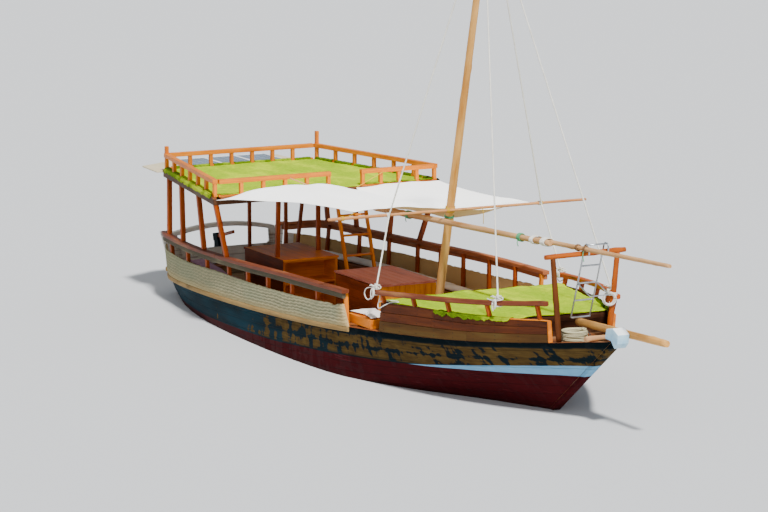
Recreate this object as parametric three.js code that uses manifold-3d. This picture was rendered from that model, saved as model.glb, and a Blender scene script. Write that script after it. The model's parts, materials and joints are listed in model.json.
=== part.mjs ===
// A wooden motor dhow of about 14 m with a stern transom, an upper deck on posts, a raked mast,
// a yard lowered on its gallows, and an awning between the upper deck and a pole at the mast.
// Millimetres. +X points to the bow, +Y to port, +Z up. The origin is on the centre line,
// at the level of the water. Pieces that touch keep a seam between them.
import * as THREE from 'three';
import { mergeVertices } from 'three/addons/utils/BufferGeometryUtils.js';
import Module from 'manifold-3d';

const wasm = await Module();
wasm.setup();

// Driving dimensions
const seam = 0.3;
const keelZ = -700;
const keelDepth = 260;
const backboneWidth = 130;
const wallThickness = 110;
const soleZ = 300;
const soleThickness = 30;
const matThickness = 40;
const plankThickness = 45;
const deckAft = 3000;
const deckFore = 5500;
const deckZ = 1375;
const deckRise = 0.02;
const turfThickness = 25;
const wellFore = 7000;
const wellFloorZ = 1120;
const entryAft = 2260;
const entryFore = 3060;
const bulwarkFore = 6330;
const roofAft = -5630;
const roofFore = -2040;
const roofAftHalf = 1540;
const roofForeHalf = 2180;
const roofTopZ = 2380;
const roofFasciaDepth = 130;
const roofRailZ = 2680;
const mastRake = 0.24;
const mastFootX = 1712;

// The stem and the transom are straight lines in side view: x at the water and run per mm up.
const stem = { atWater: 5500, run: 1.31, timber: 110 };
const transom = { atWater: -6200, run: -0.2, board: 60, deadwoodX: -5350 };
const stemX = (z) => stem.atWater + stem.run * z;
const transomX = (z) => transom.atWater + transom.run * z;

// Top edge of the planking. Columns: x, height, half breadth.
const topEdge = [
  [-6290, 450, 1140], [-5500, 475, 1490], [-4200, 530, 1725], [-2800, 585, 1830], [-1500, 645, 1885],
  [0, 720, 1895], [1400, 805, 1870], [2600, 890, 1770], [3600, 955, 1600], [4600, 1025, 1330],
  [5500, 1110, 980], [6300, 1205, 570], [6900, 1290, 240], [7255, 1340, 68],
];
// Waterline. Columns: x, half breadth.
const waterline = [
  [-6200, 1000], [-5300, 1340], [-4400, 1570], [-3000, 1780], [-1200, 1880], [500, 1870], [1900, 1730],
  [3050, 1320], [3600, 1040], [4200, 700], [4700, 440], [5200, 210], [5500, 66],
];
// How full the bottom is. Columns: share of the length from the stern, power of the section's curve.
const fullness = [[0, 0.8], [0.15, 1.2], [0.35, 2.2], [0.6, 2.4], [0.8, 1.5], [1, 1]];
// Rails. Columns: x, height of the top, half breadth.
const aftRail = [
  [-6400, 1115, 1150], [-5500, 1250, 1560], [-4000, 1275, 1775], [-2800, 1305, 1850], [-1500, 1350, 1890],
  [0, 1410, 1895], [1400, 1445, 1870], [2200, 1460, 1830],
];
const foreRail = [
  [2880, 1555, 1700], [3600, 1610, 1570], [4600, 1680, 1340], [5500, 1750, 1010], [6330, 1840, 610],
];
// Tops of the woven matting and of the bow planks. Columns: x, height.
const matTop = [[-6300, 950], [-4200, 950], [-2800, 1010], [-700, 1060], [1200, 1140], [2260, 1240]];
const bowPlankTop = [[3060, 1375], [4000, 1435], [4900, 1455], [5700, 1505], [6330, 1545]];

// Smooth value of one column of a table at x, by a cubic through its rows.
function smooth(table, x, column = 1) {
  const last = table.length - 1;
  if (x <= table[0][0]) return table[0][column];
  if (x >= table[last][0]) return table[last][column];
  let i = 0;
  while (table[i + 1][0] < x) i += 1;
  const slope = (a, b) => (table[b][column] - table[a][column]) / (table[b][0] - table[a][0]);
  const m0 = i > 0 ? slope(i - 1, i + 1) : slope(i, i + 1);
  const m1 = i + 1 < last ? slope(i, i + 2) : slope(i, i + 1);
  const h = table[i + 1][0] - table[i][0];
  const t = (x - table[i][0]) / h;
  const bend = t * (1 - t) * h;
  const rise = table[i + 1][column] - table[i][column];
  return table[i][column] + rise * t * t * (3 - 2 * t) + bend * ((1 - t) * m0 - t * m1);
}

// The side pieces share one row of frames, so that their facets lie on each other.
const frameX = topEdge.flatMap(([x], i) => (i + 1 < topEdge.length ? [x, (x + topEdge[i + 1][0]) / 2] : [x]));
function onFrames(table, x, column = 1) {
  let i = 0;
  while (i < frameX.length - 2 && frameX[i + 1] < x) i += 1;
  const t = THREE.MathUtils.clamp((x - frameX[i]) / (frameX[i + 1] - frameX[i]), 0, 1);
  return THREE.MathUtils.lerp(smooth(table, frameX[i], column), smooth(table, frameX[i + 1], column), t);
}
const spans = (x0, x1) => [x0, ...frameX.filter((x) => x > x0 + 20 && x < x1 - 20), x1];
const topZ = (x) => onFrames(topEdge, x, 1);
const topHalf = (x) => onFrames(topEdge, x, 2);
const railAt = (x) => (x < 2600 ? aftRail : foreRail);

// Half breadth of the side above the planking, leaning out to the rail.
function sideHalf(x, z) {
  const rail = railAt(x);
  const share = (z - topZ(x)) / (onFrames(rail, x, 1) - topZ(x));
  return THREE.MathUtils.lerp(topHalf(x), onFrames(rail, x, 2) - 20, Math.min(Math.max(share, 0), 1));
}

const V = (x, y, z) => new THREE.Vector3(x, y, z);

// A closed body from equal rings of points, each ring a flat closed outline.
function loft(rings) {
  const n = rings[0].length;
  const position = rings.flat().flatMap((p) => [p.x, p.y, p.z]);
  const index = [];
  for (let r = 0; r + 1 < rings.length; r += 1) {
    for (let k = 0; k < n; k += 1) {
      const a = r * n + k;
      const b = r * n + ((k + 1) % n);
      index.push(a, b, b + n, a, b + n, a + n);
    }
  }
  const normal = V(0, 0, 0);
  rings[0].forEach((p, k) => normal.add(p.clone().cross(rings[0][(k + 1) % n])));
  const size = [Math.abs(normal.x), Math.abs(normal.y), Math.abs(normal.z)];
  const axis = size.indexOf(Math.max(...size));
  const flat = (p) => [new THREE.Vector2(p.y, p.z), new THREE.Vector2(p.z, p.x),
    new THREE.Vector2(p.x, p.y)][axis];
  const turn = Math.sign(normal.getComponent(axis));
  const caps = THREE.ShapeUtils.triangulateShape(rings[0].map(flat), []);
  const lastRing = (rings.length - 1) * n;
  for (const [a, b, c] of caps) {
    const area = (flat(rings[0][b]).x - flat(rings[0][a]).x) * (flat(rings[0][c]).y - flat(rings[0][a]).y)
      - (flat(rings[0][c]).x - flat(rings[0][a]).x) * (flat(rings[0][b]).y - flat(rings[0][a]).y);
    const [q, s] = Math.sign(area) === turn ? [b, c] : [c, b];
    index.push(a, s, q, lastRing + a, lastRing + q, lastRing + s);
  }
  const geometry = new THREE.BufferGeometry();
  geometry.setAttribute('position', new THREE.Float32BufferAttribute(position, 3));
  geometry.setIndex(index);
  return facingOut(geometry);
}

function facingOut(geometry) {
  const p = geometry.attributes.position;
  const index = geometry.index.array;
  let volume = 0;
  for (let i = 0; i < index.length; i += 3) {
    const [a, b, c] = [0, 1, 2].map((k) => new THREE.Vector3().fromBufferAttribute(p, index[i + k]));
    volume += a.dot(b.cross(c));
  }
  if (volume < 0) geometry.setIndex(Array.from(index).reverse());
  return geometry;
}

// Joins and cuts
function toSolid(geometry) {
  const g = geometry.clone();
  for (const name of Object.keys(g.attributes)) if (name !== 'position') g.deleteAttribute(name);
  const merged = mergeVertices(g, 1e-3);
  return new wasm.Manifold(new wasm.Mesh({
    numProp: 3,
    vertProperties: new Float32Array(merged.attributes.position.array),
    triVerts: new Uint32Array(merged.index.array),
  }));
}
function toGeometry(solid) {
  const mesh = solid.getMesh();
  const geometry = new THREE.BufferGeometry();
  geometry.setAttribute('position', new THREE.Float32BufferAttribute(mesh.vertProperties, 3));
  geometry.setIndex(Array.from(mesh.triVerts));
  return geometry;
}
const join = (...pieces) => toGeometry(pieces.map(toSolid).reduce((a, b) => a.add(b)));
const cut = (piece, ...tools) =>
  toGeometry(tools.map(toSolid).reduce((a, b) => a.subtract(b), toSolid(piece)));

// A straight timber from a to b with a width across and a height along the up direction.
function timber(a, b, width, height, up = V(0, 0, 1)) {
  const run = b.clone().sub(a);
  const geometry = new THREE.BoxGeometry(run.length(), width, height);
  const along = run.clone().normalize();
  const across = up.clone().cross(along).normalize();
  const rise = along.clone().cross(across);
  const place = new THREE.Matrix4().makeBasis(along, across, rise);
  place.setPosition(a.clone().add(b).multiplyScalar(0.5));
  return geometry.applyMatrix4(place);
}
const block = (x0, x1, y0, y1, z0, z1) => new THREE.BoxGeometry(x1 - x0, y1 - y0, z1 - z0)
  .translate((x0 + x1) / 2, (y0 + y1) / 2, (z0 + z1) / 2);

// A round pole from a to b.
function pole(a, b, radiusA, radiusB = radiusA, sides = 12) {
  const run = b.clone().sub(a);
  const geometry = new THREE.CylinderGeometry(radiusB, radiusA, run.length(), sides);
  const turn = new THREE.Quaternion().setFromUnitVectors(V(0, 1, 0), run.clone().normalize());
  const middle = a.clone().add(b).multiplyScalar(0.5);
  return geometry.applyQuaternion(turn).translate(middle.x, middle.y, middle.z);
}

// A plate cut to an outline [[u, v], ...]. Upright plates lie in XZ, with y in the middle.
function plate(outline, thickness, flat = false) {
  const shape = new THREE.Shape(outline.map(([u, v]) => new THREE.Vector2(u, v)));
  const geometry = new THREE.ExtrudeGeometry(shape, { depth: thickness, bevelEnabled: false });
  return flat ? geometry : geometry.rotateX(Math.PI / 2).translate(0, thickness / 2, 0);
}

// A section [[outboard, up], ...] carried along a side line. side is 1 for port, -1 for starboard.
function sideSweep(x0, x1, side, line, section) {
  return loft(spans(x0, x1).map((x) => {
    const [half, z] = line(x);
    return section.map(([out, up]) => V(x, side * (half + out), z + up));
  }));
}
// A strip between two heights, measured in from the side of the boat.
function sideStrip(x0, x1, side, low, high, outer, inner) {
  return loft(spans(x0, x1).map((x) => [
    V(x, side * outer(x, low(x)), low(x)), V(x, side * outer(x, high(x)), high(x)),
    V(x, side * inner(x, high(x)), high(x)), V(x, side * inner(x, low(x)), low(x))]));
}

// Materials
const paint = (color, roughness = 0.7, metalness = 0) =>
  new THREE.MeshStandardMaterial({ color, roughness, metalness });
const materials = {
  hull: paint(0x1d2f38, 0.75), backbone: paint(0x7a1a22, 0.8), varnish: paint(0xa8561f, 0.45),
  teak: paint(0x6e3a20, 0.6),
  wale: paint(0xc0a26a, 0.8), mat: paint(0xb5ad8a, 0.95), sole: paint(0x8a6a48, 0.8),
  turf: paint(0x7fae12, 1),
  bamboo: paint(0xc8903f, 0.6), canvas: paint(0xf3efe6, 0.9), cushion: paint(0xe8e6e2, 0.9),
  rope: paint(0xe9e6dc, 0.9),
  steel: paint(0x9aa0a4, 0.35, 0.9), bronze: paint(0x9a7a3a, 0.4, 0.9), iron: paint(0x3a3a3a, 0.6, 0.7),
  stemhead: paint(0xa9cfe0, 0.6), panel: paint(0x5f7f95, 0.2), cream: paint(0xe6dcc0, 0.7),
  engine: paint(0x55606a, 0.5, 0.5),
};

const boat = new THREE.Group();
function piece(name, geometry, material, parent = boat) {
  const mesh = new THREE.Mesh(geometry, material);
  mesh.name = name;
  parent.add(mesh);
  return mesh;
}
const sides = [['starboard', -1], ['port', 1]];

// Planking: one body from the keel to the wale, hollow over the sole and at the bow well.
const halfKeel = backboneWidth / 2;
const bottomShares = [0, 0.12, 0.3, 0.55, 0.8, 1];
function hullRing(x) {
  const t = (x - frameX[0]) / (frameX.at(-1) - frameX[0]);
  const water = THREE.MathUtils.lerp(transom.atWater, stem.atWater, t);
  const keel = THREE.MathUtils.lerp(transom.deadwoodX, stemX(keelZ), t);
  const halfWater = smooth(waterline, water);
  const power = smooth(fullness, t);
  const below = bottomShares.map((f) => V(
    THREE.MathUtils.lerp(keel, water, f),
    halfKeel + (halfWater - halfKeel) * (1 - (1 - f) ** power),
    keelZ * (1 - f)));
  const above = [0.5, 1].map((g) => V(
    THREE.MathUtils.lerp(water, x, g),
    THREE.MathUtils.lerp(halfWater, smooth(topEdge, x, 2), g ** 0.8),
    smooth(topEdge, x, 1) * g));
  const port = [...below, ...above];
  return [...port, ...port.map((p) => V(p.x, -p.y, p.z)).reverse()];
}
const cavity = loft(spans(-5980, deckAft - 20).map((x) => {
  const inner = topHalf(x) - wallThickness;
  const low = Math.min(inner, smooth(waterline, x) - wallThickness + 20);
  const floorZ = soleZ - soleThickness;
  return [V(x, inner, 1500), V(x, low, floorZ), V(x, -low, floorZ), V(x, -inner, 1500)];
}));
const bowWell = loft(spans(deckFore, wellFore).map((x) => {
  const inner = Math.max(topHalf(x) - 150, 30);
  return [V(x, inner, 1700), V(x, inner * 0.85, wellFloorZ), V(x, -inner * 0.85, wellFloorZ),
    V(x, -inner, 1700)];
}));
const shaftZ = -560;
const tubeEnd = -5640;
const sternTube = pole(V(-5200, 0, shaftZ), V(tubeEnd, 0, shaftZ), 48, 48, 16);
const hullBody = loft(frameX.map(hullRing));
piece('hull_planking', join(cut(hullBody, cavity, bowWell), sternTube), materials.hull);

// Keel, stem and sternpost: one backbone, with an opening for the propeller.
const postFront = (z) => transomX(z) - transom.board - 2 * seam;
const postDepth = 110;
const postTopZ = 745;
const skegTop = -800;
const keelBottom = keelZ - keelDepth;
const backboneOutline = [
  [postFront(keelBottom) - postDepth, keelBottom], [3900, keelBottom], [4330, -900], [4640, -780],
  [stemX(-600) + stem.timber, -600], [stemX(1310) + stem.timber, 1310], [stemX(1360), 1360],
  [stemX(1340) + 0.5, 1340], [stemX(keelZ) + 0.5, keelZ], [stemX(keelZ) + 0.5, keelZ - seam],
  [transom.deadwoodX, keelZ - seam], [transom.deadwoodX, skegTop], [postFront(skegTop), skegTop],
  [postFront(postTopZ), postTopZ], [postFront(postTopZ) - postDepth, postTopZ],
];
const pintleX = postFront(0) - postDepth - 35;
const rakeAngle = Math.atan(-transom.run);
const pintleAt = (height) => V(pintleX - Math.sin(rakeAngle) * height, 0, Math.cos(rakeAngle) * height);
const gudgeonHeights = [-780, -120, 700];
const gudgeons = gudgeonHeights.flatMap((h) => [
  pole(pintleAt(h - 60), pintleAt(h), 20, 20, 12),
  timber(pintleAt(h - 30).add(V(60, 0, 12)), pintleAt(h - 30), 30, 50, V(0, 1, 0)),
]);
piece('keel_and_stem', join(plate(backboneOutline, backboneWidth), ...gudgeons), materials.backbone);

// Transom board on the after end of the planking, open above its sill, with a cheek on each side
// that carries the arched taffrail.
const sillZ = 750;
const transomOutline = [ // height, half breadth
  [0, 1002], [225, 1080], [450, 1138], [700, 1180], [950, 1225], [1105, 1255], [1115, 1130], [1010, 1050],
  [1030, 930],
  [sillZ + 40, 925], [sillZ, 880],
];
const bothHalves = (port) => [...port, ...port.map((p) => V(p.x, -p.y, p.z)).reverse()];
const boardFace = (x, shift, shape) => bothHalves(shape.map(([z, half]) => V(x(z) + shift, half, z)));
piece('transom_board', loft([
  boardFace(transomX, -seam, transomOutline),
  boardFace(transomX, -transom.board, transomOutline),
]), materials.cream);
const taffrail = { half: 1040, width: 130, height: 80, x: transomX(1100) - transom.board / 2 };
const archZ = (y) => 1052.3 + 70 * Math.cos((y / taffrail.half) * Math.PI / 2) - 60 * (y / taffrail.half) ** 2;
const archSeat = [[sillZ, 1140], [1010 + seam, 1140], [1010 + seam, 1050], [1030 + seam, 930 - seam],
  [sillZ, 880]];
const archBody = loft([-1, -0.88, -0.7, -0.5, -0.25, 0, 0.25, 0.5, 0.7, 0.88, 1].map((share) => {
  const y = share * taffrail.half;
  const [aft, fore] = [taffrail.x - taffrail.width / 2, taffrail.x + taffrail.width / 2];
  const [low, high] = [archZ(y), archZ(y) + taffrail.height];
  return [V(aft, y, low), V(fore, y, low), V(fore, y, high), V(aft, y, high)];
}));
const seatX = [taffrail.x - taffrail.width, taffrail.x + taffrail.width];
const seatBlocks = [1, -1].map((side) => loft(seatX.map((x) => archSeat.map(([z, half]) => V(x, side * half, z)))));
piece('taffrail', cut(archBody, ...seatBlocks), materials.varnish);

// Sides: rubbing wale, matting laid over the bulwark, bow planks, and the rails on their posts.
const railSection = [[-65, 0], [65, 0], [65, -65], [40, -75], [40, -150], [-20, -150], [-20, -75],
  [-65, -65]];
const foreRailSection = [[-45, 0], [45, 0], [45, -75], [-45, -75]];
const railAft = -6385;
const railPostX = [-5200, -4200, -3200, -2200, -1400, -600, 300, 1200, 2120];
const forePostX = [3110, 3850, 4600, 5350, 6150];
const railLine = (x) => [onFrames(railAt(x), x, 2), onFrames(railAt(x), x, 1)];
const railSeat = (x0, x1, side, top) => sideStrip(x0, x1, side, (x) => topZ(x) - 900, top, () => 2600, () => 10);
const rails = {};
for (const [name, side] of sides) {
  const along = (x) => [topHalf(x) + seam, topZ(x)];
  piece(`wale_${name}`, sideSweep(-6420, entryAft, side, along, [[0, -85], [42, -80], [42, 5], [0, 5]]),
    materials.wale);
  const over = (x, z) => sideHalf(x, z);
  piece(`mat_bulwark_${name}`, sideStrip(-6275, entryAft, side, (x) => topZ(x) + 5 + seam,
    (x) => onFrames(matTop, x),
    (x, z) => over(x, z) + matThickness - 2, (x, z) => over(x, z) - 2), materials.mat);
  const bowPlanks = (rise, inset) => sideStrip(entryFore, bulwarkFore, side, (x) => topZ(x) + seam,
    (x) => onFrames(bowPlankTop, x) + rise, (x, z) => over(x, z) + inset,
    (x, z) => over(x, z) - plankThickness - inset);
  piece(`bow_bulwark_${name}`, bowPlanks(0, 0), materials.teak);

  const aftPosts = railPostX.map((x) => {
    const low = sideHalf(x, topZ(x)) - 48;
    const high = railLine(x)[0] - 68;
    return timber(V(x, side * low, topZ(x) - 60), V(x, side * high, railLine(x)[1] - 40), 62, 62, V(1, 0, 0));
  });
  const aftRailBody = join(sideSweep(railAft, 2200, side, railLine, railSection), ...aftPosts);
  rails[name] = sideSweep(railAft, 2200, side, (x) => [railLine(x)[0], railLine(x)[1] + seam], railSection);
  piece(`rail_aft_${name}`, cut(aftRailBody, railSeat(-6250, 2300, side, (x) => topZ(x) + seam)),
    materials.varnish);

  const shortPosts = forePostX.map((x) => timber(V(x, side * (sideHalf(x, 1400) - 24), 1250),
    V(x, side * (railLine(x)[0] - 5), railLine(x)[1] - 40), 60, 60, V(1, 0, 0)));
  const foreSeat = sideStrip(deckAft - 200, bulwarkFore + 100, side, (x) => topZ(x) - 200,
    (x) => onFrames(bowPlankTop, Math.max(x, entryFore)) + seam, () => 2600, () => 10);
  piece(`rail_bow_${name}`, cut(join(sideSweep(2880, bulwarkFore, side, railLine, foreRailSection),
    ...shortPosts), foreSeat),
    materials.teak);
}

// Decks
const cavityHalf = (x) => Math.min(topHalf(x) - wallThickness, smooth(waterline, x) - wallThickness + 20);
piece('cockpit_sole', loft(spans(-5975, deckAft - 25).map((x) => {
  const half = cavityHalf(x) - 4;
  const z = soleZ - soleThickness + seam;
  return [V(x, half, z), V(x, half, soleZ), V(x, -half, soleZ), V(x, -half, z)];
})), materials.sole);
const foreDeckZ = (x) => deckZ + (x - deckAft) * deckRise;
const foreDeckHalf = (x, z) => sideHalf(Math.max(x, 2700), z) - plankThickness - 8;
piece('foredeck', loft(spans(deckAft, deckFore - 5).map((x) => {
  const low = topZ(x) + seam;
  const high = foreDeckZ(x);
  return [V(x, foreDeckHalf(x, low), low), V(x, foreDeckHalf(x, high), high),
    V(x, -foreDeckHalf(x, high), high), V(x, -foreDeckHalf(x, low), low)];
})), materials.teak);
piece('foredeck_turf', loft(spans(deckAft - 30, deckFore + 10).map((x) => {
  const low = foreDeckZ(Math.max(x, deckAft)) + seam;
  const half = foreDeckHalf(x, low + turfThickness) - 12;
  return [V(x, half, low), V(x, half - 4, low + turfThickness), V(x, 0, low + turfThickness + 12),
    V(x, -half + 4, low + turfThickness), V(x, -half, low), V(x, 0, low)];
})), materials.turf);

// Bow: stem head block, cross log on the planking, bowsprit lashed beside the block.
const crossLog = { x: 6880, radius: 45, half: 290 };
crossLog.z = topZ(crossLog.x) + crossLog.radius + 2 * seam;
piece('bow_cross_log', pole(V(crossLog.x, -crossLog.half, crossLog.z),
  V(crossLog.x, crossLog.half - 20, crossLog.z),
  crossLog.radius, crossLog.radius - 3), materials.bamboo);
const sprit = { y: 172, radius: 62, slope: 0.037, aft: 5930, fore: 8390 };
sprit.z = (x) => crossLog.z + crossLog.radius + sprit.radius - 4.2 + (x - crossLog.x) * sprit.slope;
piece('bowsprit', pole(V(sprit.aft, sprit.y, sprit.z(sprit.aft)),
  V(sprit.fore, sprit.y - 20, sprit.z(sprit.fore)),
  sprit.radius, sprit.radius - 6, 14), materials.bamboo);
const headOutline = [[7110, 1372], [7150, 1520], [7330, 1560], [7480, 1480], [7460, 1345], [7381, 1260],
  [stemX(1310) + stem.timber + 1, 1310], [stemX(1360) + 1, 1361]];
piece('stemhead_block', plate(headOutline, 200), materials.stemhead);

// Gallows frame for the yard, standing on the planking at the end of the bow bulwarks.
const gallows = { x: 6390, footHalf: 420, topHalf: 560, barZ: 2515, barRadius: 42, barHalf: 690 };
const gallowsPosts = sides.map(([, side]) => pole(V(gallows.x - 10, side * gallows.footHalf, 1100),
  V(gallows.x, side * gallows.topHalf, gallows.barZ), 46, 42));
const gallowsBar = pole(V(gallows.x, -gallows.barHalf, gallows.barZ - 8),
  V(gallows.x, gallows.barHalf, gallows.barZ + 8),
  gallows.barRadius);
const gallowsFrame = cut(join(gallowsBar, ...gallowsPosts),
  ...sides.map(([, side]) => railSeat(6200, 6700, side, (x) => topZ(x) + seam)));
piece('gallows_frame', gallowsFrame, materials.varnish);

// Mast, standing in its chock on the sole.
const mastX = (z) => mastFootX + mastRake * (z - soleZ);
const mastProfile = [[0, 0], [76, 0], [74, 1500], [70, 3000], [62, 5600], [50, 7500], [30, 7790], [0, 7810]];
const mastBody = new THREE.LatheGeometry(mastProfile.map(([r, h]) => new THREE.Vector2(r, h)), 16)
  .rotateX(Math.PI / 2).rotateY(Math.atan(mastRake)).translate(mastX(soleZ + 40), 0, soleZ + 40);
const chock = block(mastFootX - 170, mastFootX + 190, -150, 150, soleZ + seam, soleZ + 130);
piece('mast', join(mastBody, chock), materials.bamboo);
const mastRadius = (z) => THREE.MathUtils.mapLinear(z, 300, 3300, 76, 70);

// Yard: two spars lashed end to end, lowered onto the gallows, hung on the mast's starboard side.
const yard = { slope: 0.0405, aft: -2290, joint: 3400, spliceAft: 2800, fore: 6570, radius: 54 };
yard.z = gallows.barZ + gallows.barRadius + 1;
const yardPivot = V(2205, -(mastRadius(2390) + yard.radius + 6), 0);
yardPivot.z = yard.z + 37 - (gallows.x - yardPivot.x) * yard.slope;
const yardGroup = new THREE.Group();
yardGroup.position.copy(yardPivot);
yardGroup.rotation.y = -Math.atan(yard.slope);
boat.add(yardGroup);
piece('yard_spars', join(pole(V(yard.aft, 0, 0), V(yard.joint, 0, 0), yard.radius, 45),
  pole(V(yard.spliceAft, 76, -2), V(yard.fore, 66, 0), 40, 32)), materials.bamboo, yardGroup);

// Awning pole across the fore side of the mast, and the cloth from the upper deck to it.
const awningPole = { z: 2620, radius: 26, starboard: -2230, port: 2470 };
awningPole.x = mastX(awningPole.z) + mastRadius(awningPole.z) + awningPole.radius + 6;
piece('awning_pole', pole(V(awningPole.x, awningPole.starboard, awningPole.z),
  V(awningPole.x, awningPole.port, awningPole.z),
  awningPole.radius, awningPole.radius - 4), materials.bamboo);
// The cloth bellies up in two lobes aft, with a valley between them, and sags behind its fore edge.
// Rows run from the upper deck forward: the two ends of the row, then heights from starboard to port.
const clothShares = [0, 0.14, 0.3, 0.46, 0.62, 0.8, 1];
const clothRows = [
  [[roofFore + 8.5, -2130], [roofFore + 8.5, 2150], [2330, 2386, 2396, 2391, 2366, 2402, 2385]],
  [[-1500, -2050], [-1500, 2060], [2398, 2560, 2625, 2560, 2350, 2425, 2388]],
  [[-700, -1935], [-700, 1960], [2478, 2605, 2640, 2570, 2400, 2420, 2405]],
  [[200, -1790], [200, 1825], [2572, 2622, 2622, 2550, 2425, 2415, 2450]],
  [[900, -1690], [900, 1700], [2612, 2625, 2595, 2515, 2390, 2390, 2505]],
  [[1500, -1590], [1500, 1600], [2625, 2620, 2570, 2475, 2345, 2365, 2565]],
  [[1900, -1520], [awningPole.x - 23.2, 1455], [2622, 2650, 2655, 2605, 2550, 2560, 2622]],
];
const clothThickness = 14;
piece('awning_cloth', loft(clothRows.map(([starboard, port, heights]) => {
  const row = heights.map((z, k) => V(THREE.MathUtils.lerp(starboard[0], port[0], clothShares[k]),
    THREE.MathUtils.lerp(starboard[1], port[1], clothShares[k]), z));
  return [...row, ...row.map((p) => p.clone().add(V(0, 0, clothThickness))).reverse()];
})), materials.canvas);

// Standing rigging: a collar on the mast and four stays, two a side, to the bow rails.
const collarZ = 7450;
const collarAt = V(mastX(collarZ), 0, collarZ);
const collarUp = V(mastRake, 0, 1).normalize();
const onCollar = (up) => collarAt.clone().addScaledVector(collarUp, up);
const collar = cut(pole(onCollar(-40), onCollar(40), 78, 78, 16), pole(onCollar(-60), onCollar(60), 52.6, 52.6, 16));
const stayRadius = 14;
const ball = (p, radius) => new THREE.IcosahedronGeometry(radius, 1).translate(p.x, p.y, p.z);
function stay(...points) {
  return points.slice(1).map((p, i) => pole(points[i], p, stayRadius, stayRadius, 8))
    .concat(points.slice(1, -1).map((p) => ball(p, stayRadius * 1.4)));
}
const knotOn = (x, side) => V(x, side * (onFrames(foreRail, x, 2)), onFrames(foreRail, x, 1) + 13.5);
const staysFrom = (side) => V(collarAt.x, side * 66, collarZ);
const kinkX = awningPole.x + awningPole.radius + stayRadius + 5;
const stays = sides.flatMap(([name, side]) => {
  const kink = V(kinkX, name === 'port' ? 1600 : -1180, awningPole.z);
  return [...stay(staysFrom(side), kink, knotOn(2930, side)), ...stay(staysFrom(side), knotOn(5540, side)),
    ball(knotOn(2930, side), 13), ball(knotOn(5540, side), 13)];
});
piece('standing_rigging', join(collar, ...stays), materials.rope);

// Upper deck: a frame of beams with its posts on the rails, boards, turf and hand rails.
const roofHalf = (x) => THREE.MathUtils.mapLinear(x, roofAft, roofFore, roofAftHalf, roofForeHalf);
const deckBoard = 30;
const frameTop = roofTopZ - deckBoard - seam;
const frameBottom = roofTopZ - roofFasciaDepth;
function roofEdge(inset) {
  const [aft, fore] = [roofAft + inset, roofFore - inset];
  const [aftHalf, foreHalf] = [roofHalf(aft) - inset, roofHalf(fore) - inset];
  return [[aft, aftHalf], [fore, foreHalf], [fore, -foreHalf], [aft, -aftHalf]];
}
const ring = cut(plate(roofEdge(0), frameTop - frameBottom, true).translate(0, 0, frameBottom),
  plate(roofEdge(60), 400, true).translate(0, 0, frameBottom - 100));
const beams = [-4950, -4130, -3310, -2500].map((x) => timber(V(x, -roofHalf(x) + 40, frameBottom + 45),
  V(x, roofHalf(x) - 40, frameBottom + 45), 70, 80));
const roofPosts = sides.flatMap(([name, side]) => [[-5350, -5250], [-4450, -4350], [-3250, -3250],
  [-2080, -2220]].map(
  ([top, foot]) => timber(V(foot, side * (railLine(foot)[0] - 15), railLine(foot)[1] - 40),
    V(top, side * (roofHalf(top) - 50), frameBottom + 20), 80, 70, V(1, 0, 0))));
const sternFeet = block(-5700, -5500, 0, 1400, soleZ - 100, soleZ + seam);
const sternPosts = [[150, 150], [890, 890], [1060, 1310]].map(([foot, top]) => cut(
  timber(V(-5590, foot, soleZ - 20), V(-5590, top, frameBottom + 20), 60, 60, V(1, 0, 0)), sternFeet));
const counter = { aft: -3400, fore: -1850, starboard: -970, port: 70, top: 1250 };
const counterPosts = [[-2170, -2110, -930], [-2500, -2500, 20]].map(([foot, top, y]) => timber(
  V(foot, y, counter.top + seam), V(top, y, frameBottom + 20), 70, 64, V(1, 0, 0)));
const counterTopTool = block(counter.aft, counter.fore, counter.starboard, counter.port, counter.top - 50,
  counter.top + seam);
piece('roof_frame', cut(join(ring, ...beams, ...roofPosts, ...sternPosts, ...counterPosts),
  ...Object.values(rails),
  counterTopTool), materials.varnish);
piece('roof_deck', plate(roofEdge(-8), deckBoard, true).translate(0, 0, roofTopZ - deckBoard),
  materials.teak);
piece('roof_turf', plate(roofEdge(87), 18, true).translate(0, 0, roofTopZ + seam), materials.turf);

// A hand rail on its balusters, whose places are shares of its length. The first may be a taller post.
const evenly = (count, first, last) => Array.from({ length: count }, (_, i) =>
  first + ((last - first) * i) / (count - 1));
const barHeight = 75;
const barWidth = 90;
const barMiddle = roofRailZ - barHeight / 2;
function handRail(from, to, shares, firstTop = barMiddle) {
  const foot = roofTopZ + seam;
  const bar = timber(V(from.x, from.y, barMiddle), V(to.x, to.y, barMiddle), barWidth, barHeight);
  const low = timber(V(from.x, from.y, foot + 20), V(to.x, to.y, foot + 20), 56, 40);
  const balusters = shares.map((share, i) => {
    const p = from.clone().lerp(to, share);
    return timber(V(p.x, p.y, foot), V(p.x, p.y, i === 0 ? firstTop : barMiddle), 60, 70, V(1, 0, 0));
  });
  return join(bar, low, ...balusters);
}
const railIn = 50;
const cornerGap = 56;
const corner = (x, side) => V(x, side * (roofHalf(x) - railIn), 0);
const opening = { starboard: 50, port: 640 };
const sideShares = evenly(7, 0.0122, 0.9878);
const [railX0, railX1] = [roofAft + railIn, roofFore - railIn];
piece('roof_rail_starboard', handRail(corner(railX0, -1), corner(railX1, -1), sideShares, 2810),
  materials.varnish);
piece('roof_rail_port', handRail(corner(railX0, 1), corner(railX1, 1), sideShares, 2910), materials.varnish);
piece('roof_rail_stern', handRail(V(railX0, -roofHalf(railX0) + cornerGap + railIn, 0),
  V(railX0, roofHalf(railX0) - cornerGap - railIn, 0), evenly(6, 1 / 7, 6 / 7)), materials.varnish);
piece('roof_rail_front_starboard', handRail(V(railX1, -roofHalf(railX1) + cornerGap + railIn, 0),
  V(railX1, opening.starboard, 0), evenly(5, 0.2, 0.983)), materials.varnish);
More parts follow.
